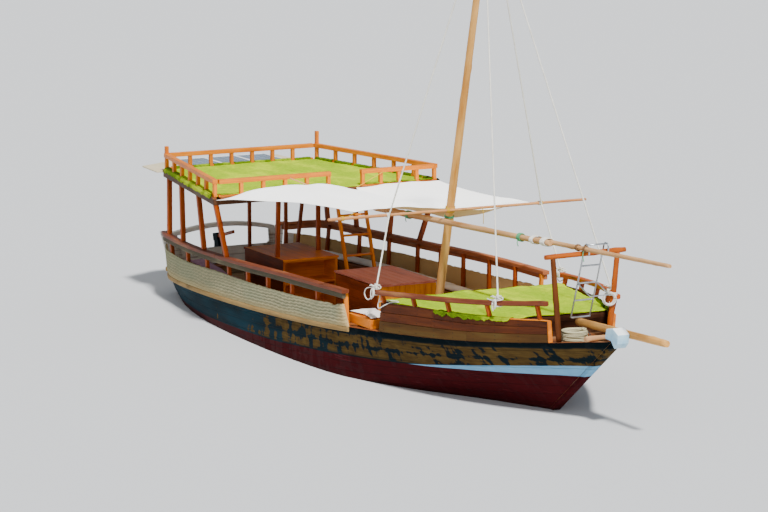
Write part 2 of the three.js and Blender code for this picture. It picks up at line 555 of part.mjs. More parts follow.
piece('roof_rail_front_port', handRail(V(railX1, opening.port, 0),
  V(railX1, roofHalf(railX1) - cornerGap - railIn, 0), evenly(4, 0.025, 0.77)), materials.varnish);

// Board carried aft of the upper deck on two bearers, with the solar panels on it.
const shelfTop = roofTopZ - 30;
const shelfOutline = [[-6440, -1600], [-5640 - seam, -1660], [-5640 - seam, 1300], [-6740, 1270],
  [-6850, -840]];
const bearers = [-900, 700].map((y) => block(-6600, roofAft - seam, y - 35, y + 35, frameBottom,
  shelfTop - 10));
piece('stern_shelf', join(plate(shelfOutline, 24, true).translate(0, 0, shelfTop - 24), ...bearers),
  materials.cream);
piece('solar_panels', block(-6760, -5760, -860, 1010, shelfTop + seam, shelfTop + 36), materials.panel);

// Ladder from the sole to the upper deck.
const ladder = { footX: -1330, topX: -2010, topZ: 2330, starboard: 110, port: 640, rungs: 6 };
const stringers = [ladder.starboard, ladder.port].map((y) => timber(V(ladder.footX, y, soleZ + 20),
  V(ladder.topX, y, ladder.topZ),
  38, 80));
const rungs = Array.from({ length: ladder.rungs }, (_, i) => {
  const share = (i + 0.9) / (ladder.rungs + 0.1);
  const x = THREE.MathUtils.lerp(ladder.footX, ladder.topX, share);
  const z = THREE.MathUtils.lerp(soleZ, ladder.topZ, share);
  return block(x - 45, x + 45, ladder.starboard, ladder.port, z - 14, z + 14);
});
piece('roof_ladder', cut(join(...stringers, ...rungs), block(-3000, 0, -1000, 2000, 0, soleZ + seam),
  block(-2600, roofFore + seam, -1000, 2000, 2000, 2700)), materials.varnish);

// Galley counter with an open shelf facing forward.
piece('galley_counter', join(
  cut(block(counter.aft, counter.fore, counter.starboard, counter.port, soleZ + seam, counter.top - 20),
    block(counter.fore - 450, counter.fore + 10, counter.starboard + 40, counter.port - 40, 840, 1190),
    block(counter.fore - 450, counter.fore + 10, counter.starboard + 40, counter.port - 40, 360, 800)),
  block(counter.aft - 15, counter.fore + 20, counter.starboard - 15, counter.port + 15, counter.top - 35,
  counter.top)),
materials.varnish);

// Engine box amidships, used as the table, with its lid hinged to port, and the engine in it.
const box = { aft: -760, fore: 830, half: 540, wall: 30, top: 1160, lid: 40 };
piece('engine_box', cut(block(box.aft, box.fore, -box.half, box.half, soleZ + seam, box.top),
  block(box.aft + box.wall, box.fore - box.wall, -box.half + box.wall, box.half - box.wall, soleZ - 10,
  box.top + 10)),
materials.varnish);
const lidHinge = V(0, box.half + 12, box.top + seam);
const lidGroup = new THREE.Group();
lidGroup.position.copy(lidHinge);
boat.add(lidGroup);
piece('engine_box_lid', block(box.aft - 15, box.fore + 15, -2 * box.half - 24, 0, 0, box.lid), materials.teak,
  lidGroup);
piece('engine_block', join(block(-600, 600, -260, 260, soleZ + 100, 900),
  block(-560, 560, -320, -240, soleZ + seam, soleZ + 180),
  block(-560, 560, 240, 320, soleZ + seam, soleZ + 180)), materials.engine);

// Benches along the sides with their pads, and the step box in the starboard entry.
const bench = { aft: -5150, fore: 1500, width: 430, top: 740, pad: 90 };
const benchOuter = (x) => Math.min(cavityHalf(x), topHalf(x) - wallThickness) - 12;
for (const [name, side] of sides) {
  piece(`bench_${name}`, sideStrip(bench.aft, bench.fore, side, () => soleZ + seam, () => bench.top,
    (x) => benchOuter(x), (x) => benchOuter(x) - bench.width), materials.varnish);
  piece(`bench_pad_${name}`, sideStrip(bench.aft + 80, bench.fore - 80, side, () => bench.top + seam,
    () => bench.top + bench.pad,
    (x) => benchOuter(x) - 8, (x) => benchOuter(x) - bench.width + 15), materials.cushion);
}
const step = { aft: 1980, fore: 2760, outer: -1690, inner: -1190, riser: 100, top: 1040, pad: 70 };
const stepSeatZ = topZ(step.fore) + seam;
piece('entry_step', join(block(step.aft, step.fore, step.outer, step.inner, stepSeatZ, step.top),
  block(step.aft, step.fore, step.inner - step.riser, step.inner, soleZ + seam, stepSeatZ + 20)),
  materials.varnish);
piece('entry_pad', block(step.aft + 20, step.fore - 20, step.outer + 10, step.inner - 10, step.top + seam,
  step.top + step.pad),
  materials.cushion);

// Swimming ladder stowed against the gallows: two tubes, four treads, hooks over the bar.
const swim = { footX: 5965, left: 20, right: 350, radius: 13 };
swim.footZ = sprit.z(swim.footX) + sprit.radius + 11.2;
const swimTop = V(gallows.x - gallows.barRadius - swim.radius - 4, 0, gallows.barZ + 60);
const swimTubes = [swim.left, swim.right].flatMap((y) => [
  pole(V(swim.footX, y, swim.footZ), V(swimTop.x, y, swimTop.z), swim.radius, swim.radius, 8),
  pole(V(swimTop.x, y, swimTop.z - 8), V(swimTop.x + 30, y, swimTop.z + 70), swim.radius, swim.radius, 8),
  pole(V(swimTop.x + 22, y, swimTop.z + 66), V(gallows.x + 80, y, swimTop.z + 60), swim.radius, swim.radius,
  8),
  pole(V(gallows.x + 74, y, swimTop.z + 68), V(gallows.x + 74, y, gallows.barZ - 20), swim.radius,
  swim.radius, 8)]);
const treads = [0, 0.25, 0.5, 0.75].map((s) => {
  const x = THREE.MathUtils.lerp(swim.footX, swimTop.x, s);
  const z = THREE.MathUtils.lerp(swim.footZ, swimTop.z, s);
  return block(x - 22, x + 22, swim.left, swim.right, z - 10, z + 10);
});
const platformBars = [30, 66].map((out) => pole(V(gallows.x + out - 40, swim.left, swimTop.z + 62),
  V(gallows.x + out - 40, swim.right, swimTop.z + 62), 9, 9, 8));
const hoop = { share: 0.5, reach: 350, drop: 140, radius: 9 };
const hoopX = THREE.MathUtils.lerp(swim.footX, swimTop.x, hoop.share);
const hoopZ = THREE.MathUtils.lerp(swim.footZ, swimTop.z, hoop.share);
const hoopBars = [swim.left, swim.right].map((y) => pole(V(hoopX, y, hoopZ),
  V(hoopX + hoop.reach, y, hoopZ - hoop.drop),
  hoop.radius, hoop.radius, 8));
const hoopEnd = pole(V(hoopX + hoop.reach, swim.left - hoop.radius, hoopZ - hoop.drop),
  V(hoopX + hoop.reach, swim.right + hoop.radius, hoopZ - hoop.drop), hoop.radius, hoop.radius, 8);
piece('swim_ladder', join(...swimTubes, ...treads, ...platformBars, ...hoopBars, hoopEnd), materials.steel);

// Grapnel anchor lying in the bow well, its ring end toward the coil of its rope.
const anchorGroup = new THREE.Group();
const anchorTurn = THREE.MathUtils.degToRad(140);
anchorGroup.position.set(5800, 330, wellFloorZ + 119);
anchorGroup.rotation.set(0, 0, anchorTurn);
boat.add(anchorGroup);
const shankEnd = 260;
const flukes = Array.from({ length: 4 }, (_, i) => {
  const turn = V(0, Math.cos(i * Math.PI / 2 + Math.PI / 4), Math.sin(i * Math.PI / 2 + Math.PI / 4));
  const at = (x, reach) => V(x, turn.y * reach, turn.z * reach);
  return [pole(at(180, 0), at(150, 110), 11, 11, 8), pole(at(154, 104), at(50, 160), 11, 6, 8)];
}).flat();
piece('anchor', join(pole(V(-shankEnd, 0, 0), V(195, 0, 0), 15, 15, 10), ...flukes), materials.iron,
  anchorGroup);

// The anchor's rope: a coil on the floor of the well and the stretch from it to the shank.
const rope = { radius: 10, turns: 5, layers: 12, middle: 150, x: 6300, y: -115 };
const coilFloor = wellFloorZ + seam;
const coilOut = rope.middle + rope.turns * rope.radius;
const coilIn = rope.middle - rope.turns * rope.radius;
const coilTop = rope.layers * 2 * rope.radius;
piece('anchor_rope_coil', new THREE.LatheGeometry([[coilIn, 0], [coilOut, 0], [coilOut, coilTop],
  [coilIn, coilTop], [coilIn, 0]]
  .map(([r, h]) => new THREE.Vector2(r, h)), 40).rotateX(Math.PI / 2).translate(rope.x, rope.y, coilFloor),
  materials.rope);
const shankWay = V(-Math.cos(anchorTurn), -Math.sin(anchorTurn), 0);
const ropeStart = anchorGroup.position.clone().addScaledVector(shankWay, shankEnd + seam);
const outerTurn = coilOut - rope.radius;
const ropeEndX = rope.x - Math.sqrt((coilOut + seam) ** 2 - (outerTurn - rope.radius) ** 2) - seam;
const ropeY = rope.y + outerTurn;
const ropeLow = coilFloor + rope.radius + 0.5;
const ropeWay = new THREE.CatmullRomCurve3([ropeStart, ropeStart.clone().addScaledVector(shankWay, 35),
  V(6075, 116, 1213),
  V(6110, 97, 1172), V(6145, 84, 1145), V(6180, ropeY, ropeLow), V(ropeEndX, ropeY, ropeLow)], false,
  'centripetal');
const ropeSection = new THREE.Shape(Array.from({ length: 10 }, (_, k) => new THREE.Vector2(
  rope.radius * Math.cos((k * Math.PI) / 5), rope.radius * Math.sin((k * Math.PI) / 5))));
piece('anchor_rope', new THREE.ExtrudeGeometry(ropeSection, { steps: 14, bevelEnabled: false,
  extrudePath: ropeWay }),
  materials.rope);

// Propeller on its shaft, and the rudder with its tiller.
const propeller = { x: -5830, radius: 185, blades: 3 };
const propellerGroup = new THREE.Group();
propellerGroup.position.set(propeller.x, 0, shaftZ);
boat.add(propellerGroup);
const bladeOutline = new THREE.Shape();
bladeOutline.absellipse(0, 110, 62, 75, 0, Math.PI * 2);
const blades = Array.from({ length: propeller.blades }, (_, i) => new THREE.ExtrudeGeometry(bladeOutline,
  { depth: 12, bevelEnabled: false, curveSegments: 10 }).translate(0, 0, -6).rotateY(Math.PI / 2 + 0.6)
  .rotateX((i * 2 * Math.PI) / propeller.blades));
piece('propeller', join(pole(V(-60, 0, 0), V(60, 0, 0), 30, 48, 16),
  pole(V(40, 0, 0), V(tubeEnd - seam - propeller.x, 0, 0), 24, 24, 12), ...blades), materials.bronze,
  propellerGroup);

const rudderGroup = new THREE.Group();
rudderGroup.position.set(pintleX, 0, 0);
rudderGroup.rotation.y = -rakeAngle;
boat.add(rudderGroup);
const rudderOutline = [[-24, -830], [-380, -830], [-600, -700], [-640, -350], [-590, 0], [-430, 350],
  [-250, 640],
  [-205, 860], [-200, 985], [-24, 985]];
const pintles = gudgeonHeights.flatMap((h) => [pole(V(0, 0, h + seam), V(0, 0, h + 50), 20, 20, 12),
  block(-60, -2, -15, 15, h + seam, h + 50)]);
const tiller = timber(V(-185, 0, 925), V(640, 0, 975), 52, 58);
piece('rudder', join(plate(rudderOutline, 60), ...pintles, tiller, block(-208, -14, -45, 45, 860, 1000)),
  materials.backbone,
  rudderGroup);

export default boat;
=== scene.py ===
"""The looks of a wooden motor dhow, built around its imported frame.

Metres, in the frame of the part: +X to the bow, +Y to port, +Z up, and the water at z = 0.
"""
import json
import math
import random

import bmesh
import bpy
import numpy as np
from mathutils import Matrix, Vector, noise

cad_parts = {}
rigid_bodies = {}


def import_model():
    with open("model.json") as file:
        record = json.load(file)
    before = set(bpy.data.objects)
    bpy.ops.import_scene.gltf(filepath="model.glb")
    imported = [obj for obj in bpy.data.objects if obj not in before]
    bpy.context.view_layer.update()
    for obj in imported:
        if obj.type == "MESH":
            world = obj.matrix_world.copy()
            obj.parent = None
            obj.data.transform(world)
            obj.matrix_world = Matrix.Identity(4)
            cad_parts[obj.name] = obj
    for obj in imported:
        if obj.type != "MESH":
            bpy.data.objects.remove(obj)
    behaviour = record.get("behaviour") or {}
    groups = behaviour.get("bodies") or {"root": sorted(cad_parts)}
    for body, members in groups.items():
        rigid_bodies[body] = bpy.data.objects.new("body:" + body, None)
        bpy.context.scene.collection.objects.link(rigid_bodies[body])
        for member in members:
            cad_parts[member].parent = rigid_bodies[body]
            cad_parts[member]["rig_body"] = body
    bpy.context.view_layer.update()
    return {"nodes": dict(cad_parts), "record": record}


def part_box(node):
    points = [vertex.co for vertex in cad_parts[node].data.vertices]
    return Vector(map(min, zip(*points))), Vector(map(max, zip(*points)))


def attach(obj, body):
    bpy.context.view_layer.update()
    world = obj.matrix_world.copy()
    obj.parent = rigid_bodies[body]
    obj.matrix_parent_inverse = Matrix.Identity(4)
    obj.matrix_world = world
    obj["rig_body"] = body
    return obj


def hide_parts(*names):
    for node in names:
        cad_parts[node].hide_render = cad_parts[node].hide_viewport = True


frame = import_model()


# Camera: a long lens off the starboard bow, a little above the boat, aimed at the middle of it.
def stood(name, data):
    """An object of that data, put into the scene."""
    placed = bpy.data.objects.new(name, data)
    bpy.context.scene.collection.objects.link(placed)
    return placed


look_at, stand_off, lens_in_frame_widths, sees_to = Vector((0, 0, 1.52)), 50, 3.906, 900
azimuth, elevation = math.radians(62.3), math.radians(9.6)
away = Vector((math.sin(azimuth) * math.cos(elevation), -math.cos(azimuth) * math.cos(elevation),
               math.sin(elevation)))
lens = bpy.data.cameras.new("long_lens")
lens.lens = lens.sensor_width * lens_in_frame_widths
lens.clip_end = sees_to
camera = stood("camera", lens)
camera.location = look_at + away * stand_off
camera.rotation_euler = away.to_track_quat("Z", "Y").to_euler()
bpy.context.scene.camera = camera


# Floor and light: a pale floor at the level of the water, a high sun off the starboard bow that is
# softened like a studio lamp, and an even pale sky.
class Shade:
    """A number that changes over a surface. Sums and products of it add the nodes that work them out."""

    def __init__(self, finish, socket):
        self.finish, self.socket = finish, socket

    def worked(self, operation, *values):
        return self.finish.node("ShaderNodeMath", {"operation": operation}, dict(enumerate(values)))

    def __add__(self, other):
        return self.worked("ADD", self, other)

    def __sub__(self, other):
        return self.worked("SUBTRACT", self, other)

    def __rsub__(self, other):
        return self.worked("SUBTRACT", other, self)

    def __mul__(self, other):
        return self.worked("MULTIPLY", self, other)

    def __truediv__(self, other):
        return self.worked("DIVIDE", self, other)

    def __abs__(self):
        return self.worked("ABSOLUTE", self)

    __radd__, __rmul__ = __add__, __mul__

    def rise(self, low, high):
        """0 up to low, 1 from high on, smooth between them."""
        return self.finish.node("ShaderNodeMapRange", {"interpolation_type": "SMOOTHSTEP"},
                                {"Value": self, "From Min": low, "From Max": high})

    def seams(self, low, high=0.49):
        """1 on the seams between boards that this number counts. low and high are from their middle."""
        return abs(self.worked("FRACT", self) - 0.5).rise(low, high)


def tint(code):
    """A colour from its six hexadecimal digits, as the renderer's linear light."""
    levels = (int(code[i:i + 2], 16) / 255 for i in (0, 2, 4))
    return tuple(v / 12.92 if v <= 0.04045 else ((v + 0.055) / 1.055) ** 2.4 for v in levels)


class Finish:
    """A material, written as expressions on the place of a point. Colours are hexadecimal digits."""

    def __init__(self, name, **uniform):
        self.material = bpy.data.materials.new(name)
        self.material.use_nodes = True
        self.tree = self.material.node_tree
        self.surface = self.tree.nodes["Principled BSDF"]
        self.feed(uniform)

    def put(self, socket, value):
        if isinstance(value, Shade):
            self.tree.links.new(value.socket, socket)
        else:
            socket.default_value = (*tint(value), 1) if isinstance(value, str) else value

    def feed(self, values):
        for socket, value in values.items():
            self.put(self.surface.inputs[socket.replace("_", " ")], value)

    def node(self, kind, settings, sockets, output=0):
        node = self.tree.nodes.new(kind)
        for name, value in settings.items():
            if name == "stops":
                while len(node.color_ramp.elements) < len(value):
                    node.color_ramp.elements.new(0.5)
                for element, (place, level) in zip(node.color_ramp.elements, value):
                    element.position, element.color = place, (*([level] * 3), 1)
            else:
                setattr(node, name, value)
        for name, value in sockets.items():
            self.put(node.inputs[name], value)
        return Shade(self, node.outputs[output])

    def point(self):
        """The place of a point in the frame of the part."""
        return self.node("ShaderNodeTexCoord", {}, {}, "Object")

    def axis(self, letter, point=None):
        return self.node("ShaderNodeSeparateXYZ", {}, {0: point or self.point()}, letter)

    def mark(self, name, output="Fac"):
        return self.node("ShaderNodeAttribute", {"attribute_name": name}, {}, output)

    def noise(self, scale, detail=3, point=None):
        """Cloudy noise from 0 to 1. scale is one number, or three where the clouds are drawn out."""
        scale = scale if isinstance(scale, tuple) else (scale,) * 3
        stretched = self.node("ShaderNodeVectorMath", {"operation": "MULTIPLY"},
                              {0: point or self.point(), 1: scale})
        return self.node("ShaderNodeTexNoise", {}, {"Vector": stretched, "Scale": 1.0, "Detail": detail})

    def level(self, along, low, high, stops):
        """A height that follows a smooth line through stops as along goes from low to high."""
        share = self.node("ShaderNodeMapRange", {}, {"Value": along, "From Min": low, "From Max": high})
        return self.node("ShaderNodeValToRGB", {"stops": stops}, {0: share})

    def mix(self, first, second, share):
        return self.node("ShaderNodeMix", {"data_type": "RGBA"}, {0: share, 6: first, 7: second}, 2)

    def wear(self, colour, height=None, depth=0.002, **others):
        """Sets what changes over the surface: colour, bump height of that depth, and other sockets."""
        self.feed({"Base_Color": colour, **others})
        if height is not None:
            bump = {"Height": height, "Distance": depth, "Strength": 1.0}
            self.feed({"Normal": self.node("ShaderNodeBump", {}, bump)})
        return self.material


def skin(name, points, faces):
    mesh = bpy.data.meshes.new(name)
    mesh.from_pydata([tuple(p) for p in points], [], faces)
    return mesh


floor_reach = 400
floor_corners = [(a * floor_reach, b * floor_reach, 0) for a, b in ((-1, -1), (1, -1), (1, 1), (-1, 1))]
floor = stood("floor", skin("floor", floor_corners, [(0, 1, 2, 3)]))
floor.data.materials.append(Finish("pale_floor", Base_Color="cfd0d1", Roughness=0.9).material)

sky = bpy.data.worlds.new("sky")
bpy.context.scene.world = sky
sky.use_nodes = True
for socket, value in (("Color", (0.86, 0.92, 1.0, 1)), ("Strength", 0.48)):
    sky.node_tree.nodes["Background"].inputs[socket].default_value = value
for name, strength, softness, toward in (
        ("sun", 6.0, 5, (0.58, -0.12, 0.8)), ("fill", 0.8, 60, (0.8, -0.6, 0.3))):
    lamp = bpy.data.lights.new(name, "SUN")
    lamp.energy, lamp.angle = strength, math.radians(softness)
    stood(name, lamp).rotation_euler = Vector(toward).to_track_quat("Z", "Y").to_euler()


# Hull: carvel planks on frames, painted blue-black and worn back to brown wood from amidships to
# the bow, with a light blue stripe that tapers aft over a dark red bottom. One body in the frame,
# kept in its shape, with the planking's inside and the cap of its edge in bare wood.
def by_station(node, faces=lambda face: True):
    """The points of a piece that runs along the side, gathered by their place along the boat."""
    mesh = frame["nodes"][node].data
    stations = {}
    for v in {v for face in mesh.polygons if faces(face) for v in face.vertices}:
        p = mesh.vertices[v].co
        stations.setdefault(round(p.x, 3), []).append(p)
    return dict(sorted(stations.items()))


def line_through(xs, values):
    """A smooth line through values at xs, as a function of x."""
    xs, values = np.array(xs, float), np.array(values, float)
    slopes = np.gradient(values, xs)

    def at(x):
        i = int(np.clip(np.searchsorted(xs, x) - 1, 0, len(xs) - 2))
        h = xs[i + 1] - xs[i]
        t = min(max((x - xs[i]) / h, 0), 1)
        straight = values[i] + (values[i + 1] - values[i]) * t * t * (3 - 2 * t)
        return straight + t * (1 - t) * h * ((1 - t) * slopes[i] - t * slopes[i + 1])

    return at


def sheer(node, high, out):
    """The line of one of the four corners of a side piece, as functions for its breadth and height."""
    rows = []
    for x, points in by_station(node).items():
        levels = [round(p.z, 3) for p in points]
        middle = (min(levels) + max(levels)) / 2
        pair = [(abs(p.y), p.z) for p in points if (p.z > middle) == high]
        rows.append((x, *(max if out else min)(pair, key=lambda corner: corner[0])))
    xs, breadths, heights = zip(*rows)
    return line_through(xs, breadths), line_through(xs, heights)


def side_face(node):
    """Breadth and height on a side piece, from x, the share of its height, and outside or inside."""
    lines = {(high, out): sheer(node, high, out) for high in (False, True) for out in (False, True)}

    def at(x, share, out=True):
        low, high = lines[False, out][0](x), lines[True, out][0](x)
        bottom, top = lines[False, True][1](x), lines[True, True][1](x)
        return low + (high - low) * share, bottom + (top - bottom) * share

    return at


def shown(name, mesh, finishes):
    piece = stood(name, mesh)
    for finish in finishes:
        mesh.materials.append(finish)
    return piece


def fit(piece, *nodes):
    """Puts a piece in the place of the frame's nodes: on their body, with their slot."""
    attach(piece, frame["nodes"][nodes[0]]["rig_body"])
    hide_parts(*nodes)
    return piece


def lay_grain(mesh):
    """Writes where each corner of a face lies along, across and through its timber."""
    grain = mesh.attributes.new("grain", "FLOAT_VECTOR", "CORNER")
    for face in mesh.polygons:
        edges = (mesh.vertices[a].co - mesh.vertices[b].co for a, b in face.edge_keys)
        longest = max(edges, key=lambda edge: edge.length)
        way = max(range(3), key=lambda i: abs(longest[i]))
        for corner in face.loop_indices:
            p = mesh.vertices[mesh.loops[corner].vertex_index].co
            grain.data[corner].vector = (p[way] + 5 * way, p[(way + 1) % 3], p[(way + 2) % 3])


def eased(node, name, finishes, ease=0.006, choose=None, soft=False):
    """A node's own shape with its edges eased. choose() tells a face's finish from where it is."""
    work = bmesh.new()
    work.from_mesh(frame["nodes"][node].data)
    bmesh.ops.remove_doubles(work, verts=work.verts, dist=2e-5)
    bmesh.ops.dissolve_limit(work, angle_limit=math.radians(0.8), verts=work.verts, edges=work.edges)
    if ease:
        corners = [e for e in work.edges if len(e.link_faces) == 2 and e.is_convex
                   and e.calc_face_angle() > math.radians(35) and e.calc_length() > 2.5 * ease]
        bmesh.ops.bevel(work, geom=corners, offset=ease, segments=2, profile=0.6, affect="EDGES",
                        clamp_overlap=False)
    bmesh.ops.triangulate(work, faces=[f for f in work.faces if len(f.verts) > 4])
    mesh = bpy.data.meshes.new(name)
    work.to_mesh(mesh)
    work.free()
    lay_grain(mesh)
    piece = shown(name, mesh, finishes)
    for face in mesh.polygons:
        face.use_smooth = soft
        if choose:
            face.material_index = choose(face.center, face.normal)
    if soft:
        mesh.set_sharp_from_angle(angle=math.radians(28))
    return fit(piece, node)


def timber(name, pale, dark, roughness, weather, weathered, plank=0):
    """Sawn wood: long fibres in darker bands, patches of weather, and seams where plank gives a width."""
    finish = Finish(name, Specular_IOR_Level=0.16)
    grain = finish.mark("grain", "Vector")
    fibres = finish.noise((2.5, 60, 60), 4, grain)
    bands = finish.noise((0.7, 11, 11), 3, grain)
    patches = finish.noise((1.3, 2.2, 2.2), 4, grain)
    colour = finish.mix(dark, pale, fibres * 0.7 + bands * 1.1 + patches * 1.2 - 1.0)
    colour = finish.mix(colour, weather, (patches * 0.6 + bands * 0.4).rise(0.62 - 0.3 * weathered, 0.72))
    height = fibres * 0.5 + bands * 0.5
    if plank:
        gap = (finish.axis("Y", grain) / plank).seams(0.46, 0.495)
        colour = finish.mix(colour, "1a0f09", gap * 0.8)
        height = height - gap * 3
    return finish.wear(colour, height, 0.0015, Roughness=patches * 0.25 + (roughness - 0.12))


def hull_paint():
    """The bands of paint, which follow the boat's length, and the wear that shows the wood."""
    aft, fore, strake, sharp = -6.6, 7.4, 0.145, 0.006
    finish = Finish("hull_paint", Specular_IOR_Level=0.06)
    x, z = finish.axis("X"), finish.axis("Z")
    red_top, blue_top, edge = (finish.level(x, aft, fore, stops) for stops in (
        ((0, 0.09), (0.23, 0.105), (0.44, 0.20), (0.63, 0.385), (0.84, 0.565), (1, 0.76)),
        ((0, 0.0), (0.5, 0.2), (0.7, 0.43), (0.754, 0.521), (0.84, 0.68), (1, 0.975)),
        ((0, 0.45), (0.2, 0.54), (0.4, 0.67), (0.6, 0.83), (0.8, 1.03), (1, 1.34))))
    waver = finish.noise(3, 3) - 0.5
    groove = ((z - edge) / strake).seams(0.44)
    grain = finish.noise((3, 8, 45), 4)
    blotches = finish.noise((4.5, 1.5, 7), 3)
    smears = finish.noise((7.5, 0.6, 1.4), 3)
    stains = finish.noise((1.6, 0.6, 2.5), 3)
    below = edge - z
    between_rows = abs(below - 2 * strake + waver * 0.05)
    wood = finish.mix("28180a", "665028", grain * 0.9 + blotches * 0.9 + stains * 0.5 - 0.66)
    dark = finish.mix("000c12", "003442", finish.noise((1, 1, 5), 3) * 1.5 - 0.25)
    dark = finish.mix(dark, "00080c", x.rise(-2.5, 3.0) * 0.75)
    amidships = x.rise(-2.3, 0.2) * 0.16 + x.rise(0.5, 3.5) * 0.05
    rubbed = blotches * 0.45 + smears * 0.55 + amidships + grain * 0.08
    bare = (rubbed - (0.06 - between_rows).rise(0, 0.06) * 0.09).rise(0.675, 0.715)
    in_sight = (below + waver * 0.05).rise(0.09, 0.12) * (z - red_top).rise(0.0, 0.05)
    topsides = finish.mix(dark, wood, bare * in_sight * 0.95)
    topsides = finish.mix(topsides, "000a0f", (0.10 - below).rise(0.0, 0.03) * 0.8)
    blue = finish.mix("4a86b0", "82b6d4", grain * 0.8 + blotches * 0.6 - 0.1)
    red = finish.mix("26060a", "4c0e12", blotches * 0.8 + grain * 0.5 - 0.15)
    red = finish.mix(red, "6c2a2e", (finish.noise((1.5, 2, 30), 3) + waver * 0.2).rise(0.66, 0.72) * 0.35)
    red = finish.mix(red, "1c211c", (0.10 - z + waver * 0.1).rise(0.0, 0.16) * 0.5)
    line = waver * 0.012
    in_stripe = (blue_top + line - z).rise(0.0, sharp) * (blue_top - red_top).rise(0.0, 0.01)
    colour = finish.mix(topsides, blue, in_stripe)
    colour = finish.mix(colour, red, (red_top + line - z).rise(0.0, sharp))
    colour = finish.mix(colour, "0a0908", groove * 0.3)
    height = grain * 0.6 - groove * 2.2 - bare * 0.5
    return finish.wear(colour, height, 0.002, Roughness=0.62 + bare * 0.2 + grain * 0.1)


planks_inside = timber("inside_planks", "9a6a3c", "5c3a20", 0.7, "8a8468", 0.5, plank=0.16)
edge_wood = timber("edge_cap", "9c5a30", "5e331b", 0.6, "8d7a5c", 0.4)
hull_colours = hull_paint()
lowest_edge, stern_end, planks_below = 0.42, -6.05, 0.2


def hull_side(centre, normal):
    if normal.z > 0.8 and centre.z > lowest_edge:
        return 2
    outboard = normal.y * centre.y > 0 and abs(normal.y) > 0.02
    behind = centre.x < stern_end and normal.x < 0
    return 0 if outboard or behind or centre.z < planks_below else 1


eased("hull_planking", "hull_planks", [hull_colours, planks_inside, edge_wood], 0, hull_side, True)


# Backbone: the keel, the stem and the sternpost are one row of squared timbers, painted with the
# hull, with iron pin stubs for the rudder.
eased("keel_and_stem", "keel_stem_and_sternpost", [hull_colours], 0.009, soft=True)


# Stern: a transom of level boards between the quarters, pale and weathered above the paint, under
# an arched taffrail of bleached wood that is nailed to its ends.
def stern_paint():
    finish = Finish("stern_paint")
    board, dark_top, red_top, sharp = 0.15, 0.455, 0.09, 0.006
    z = finish.axis("Z")
    seam = (z / board).seams(0.45)
    grain = finish.noise((6, 2, 50), 4)
    stains = finish.noise((2, 3, 1.2), 4)
    pale = finish.mix("b7b3a8", "e6e3da", grain * 0.9 + stains * 0.8 - 0.35)
    pale = finish.mix(pale, "7d6c55", (stains + grain * 0.3).rise(0.72, 0.86) * 0.8)
    dark = finish.mix("05181f", "0d3c49", grain * 1.4 - 0.3)
    red = finish.mix("3c0c11", "651a21", stains * 1.4 - 0.3)
    colour = finish.mix(dark, pale, z.rise(dark_top, dark_top + 0.01))
    colour = finish.mix(colour, red, (red_top - z).rise(0, sharp))
    colour = finish.mix(colour, "2a241c", seam * 0.6)
    return finish.wear(colour, grain * 0.6 - seam * 2, 0.002, Roughness=0.55 + grain * 0.2)


eased("transom_board", "transom_boards", [stern_paint()], 0.008)
pale_arch = timber("bleached_wood", "f6f2ea", "ccc6b6", 0.75, "a89c84", 0.2)
eased("taffrail", "taffrail_arch", [pale_arch], 0.012, soft=True)


# Side pieces are swept along the boat from their own corners in the frame, so that they follow
# its lines: first the tan rubbing strake, a half-round timber nailed over the planks' top edge.
def turned_out(mesh):
    """Turns the faces of a closed mesh outward."""
    work = bmesh.new()
    work.from_mesh(mesh)
    bmesh.ops.recalc_face_normals(work, faces=work.faces)
    work.to_mesh(mesh)
    work.free()


def cased(name, points, faces, kinds, smooth, finishes):
    """A closed piece from its points and faces, each face with its finish and smooth or flat."""
    mesh = skin(name, points, faces)
    mesh.polygons.foreach_set("use_smooth", smooth)
    mesh.polygons.foreach_set("material_index", kinds)
    turned_out(mesh)
    return shown(name, mesh, finishes)


up = Vector((0, 0, 1))


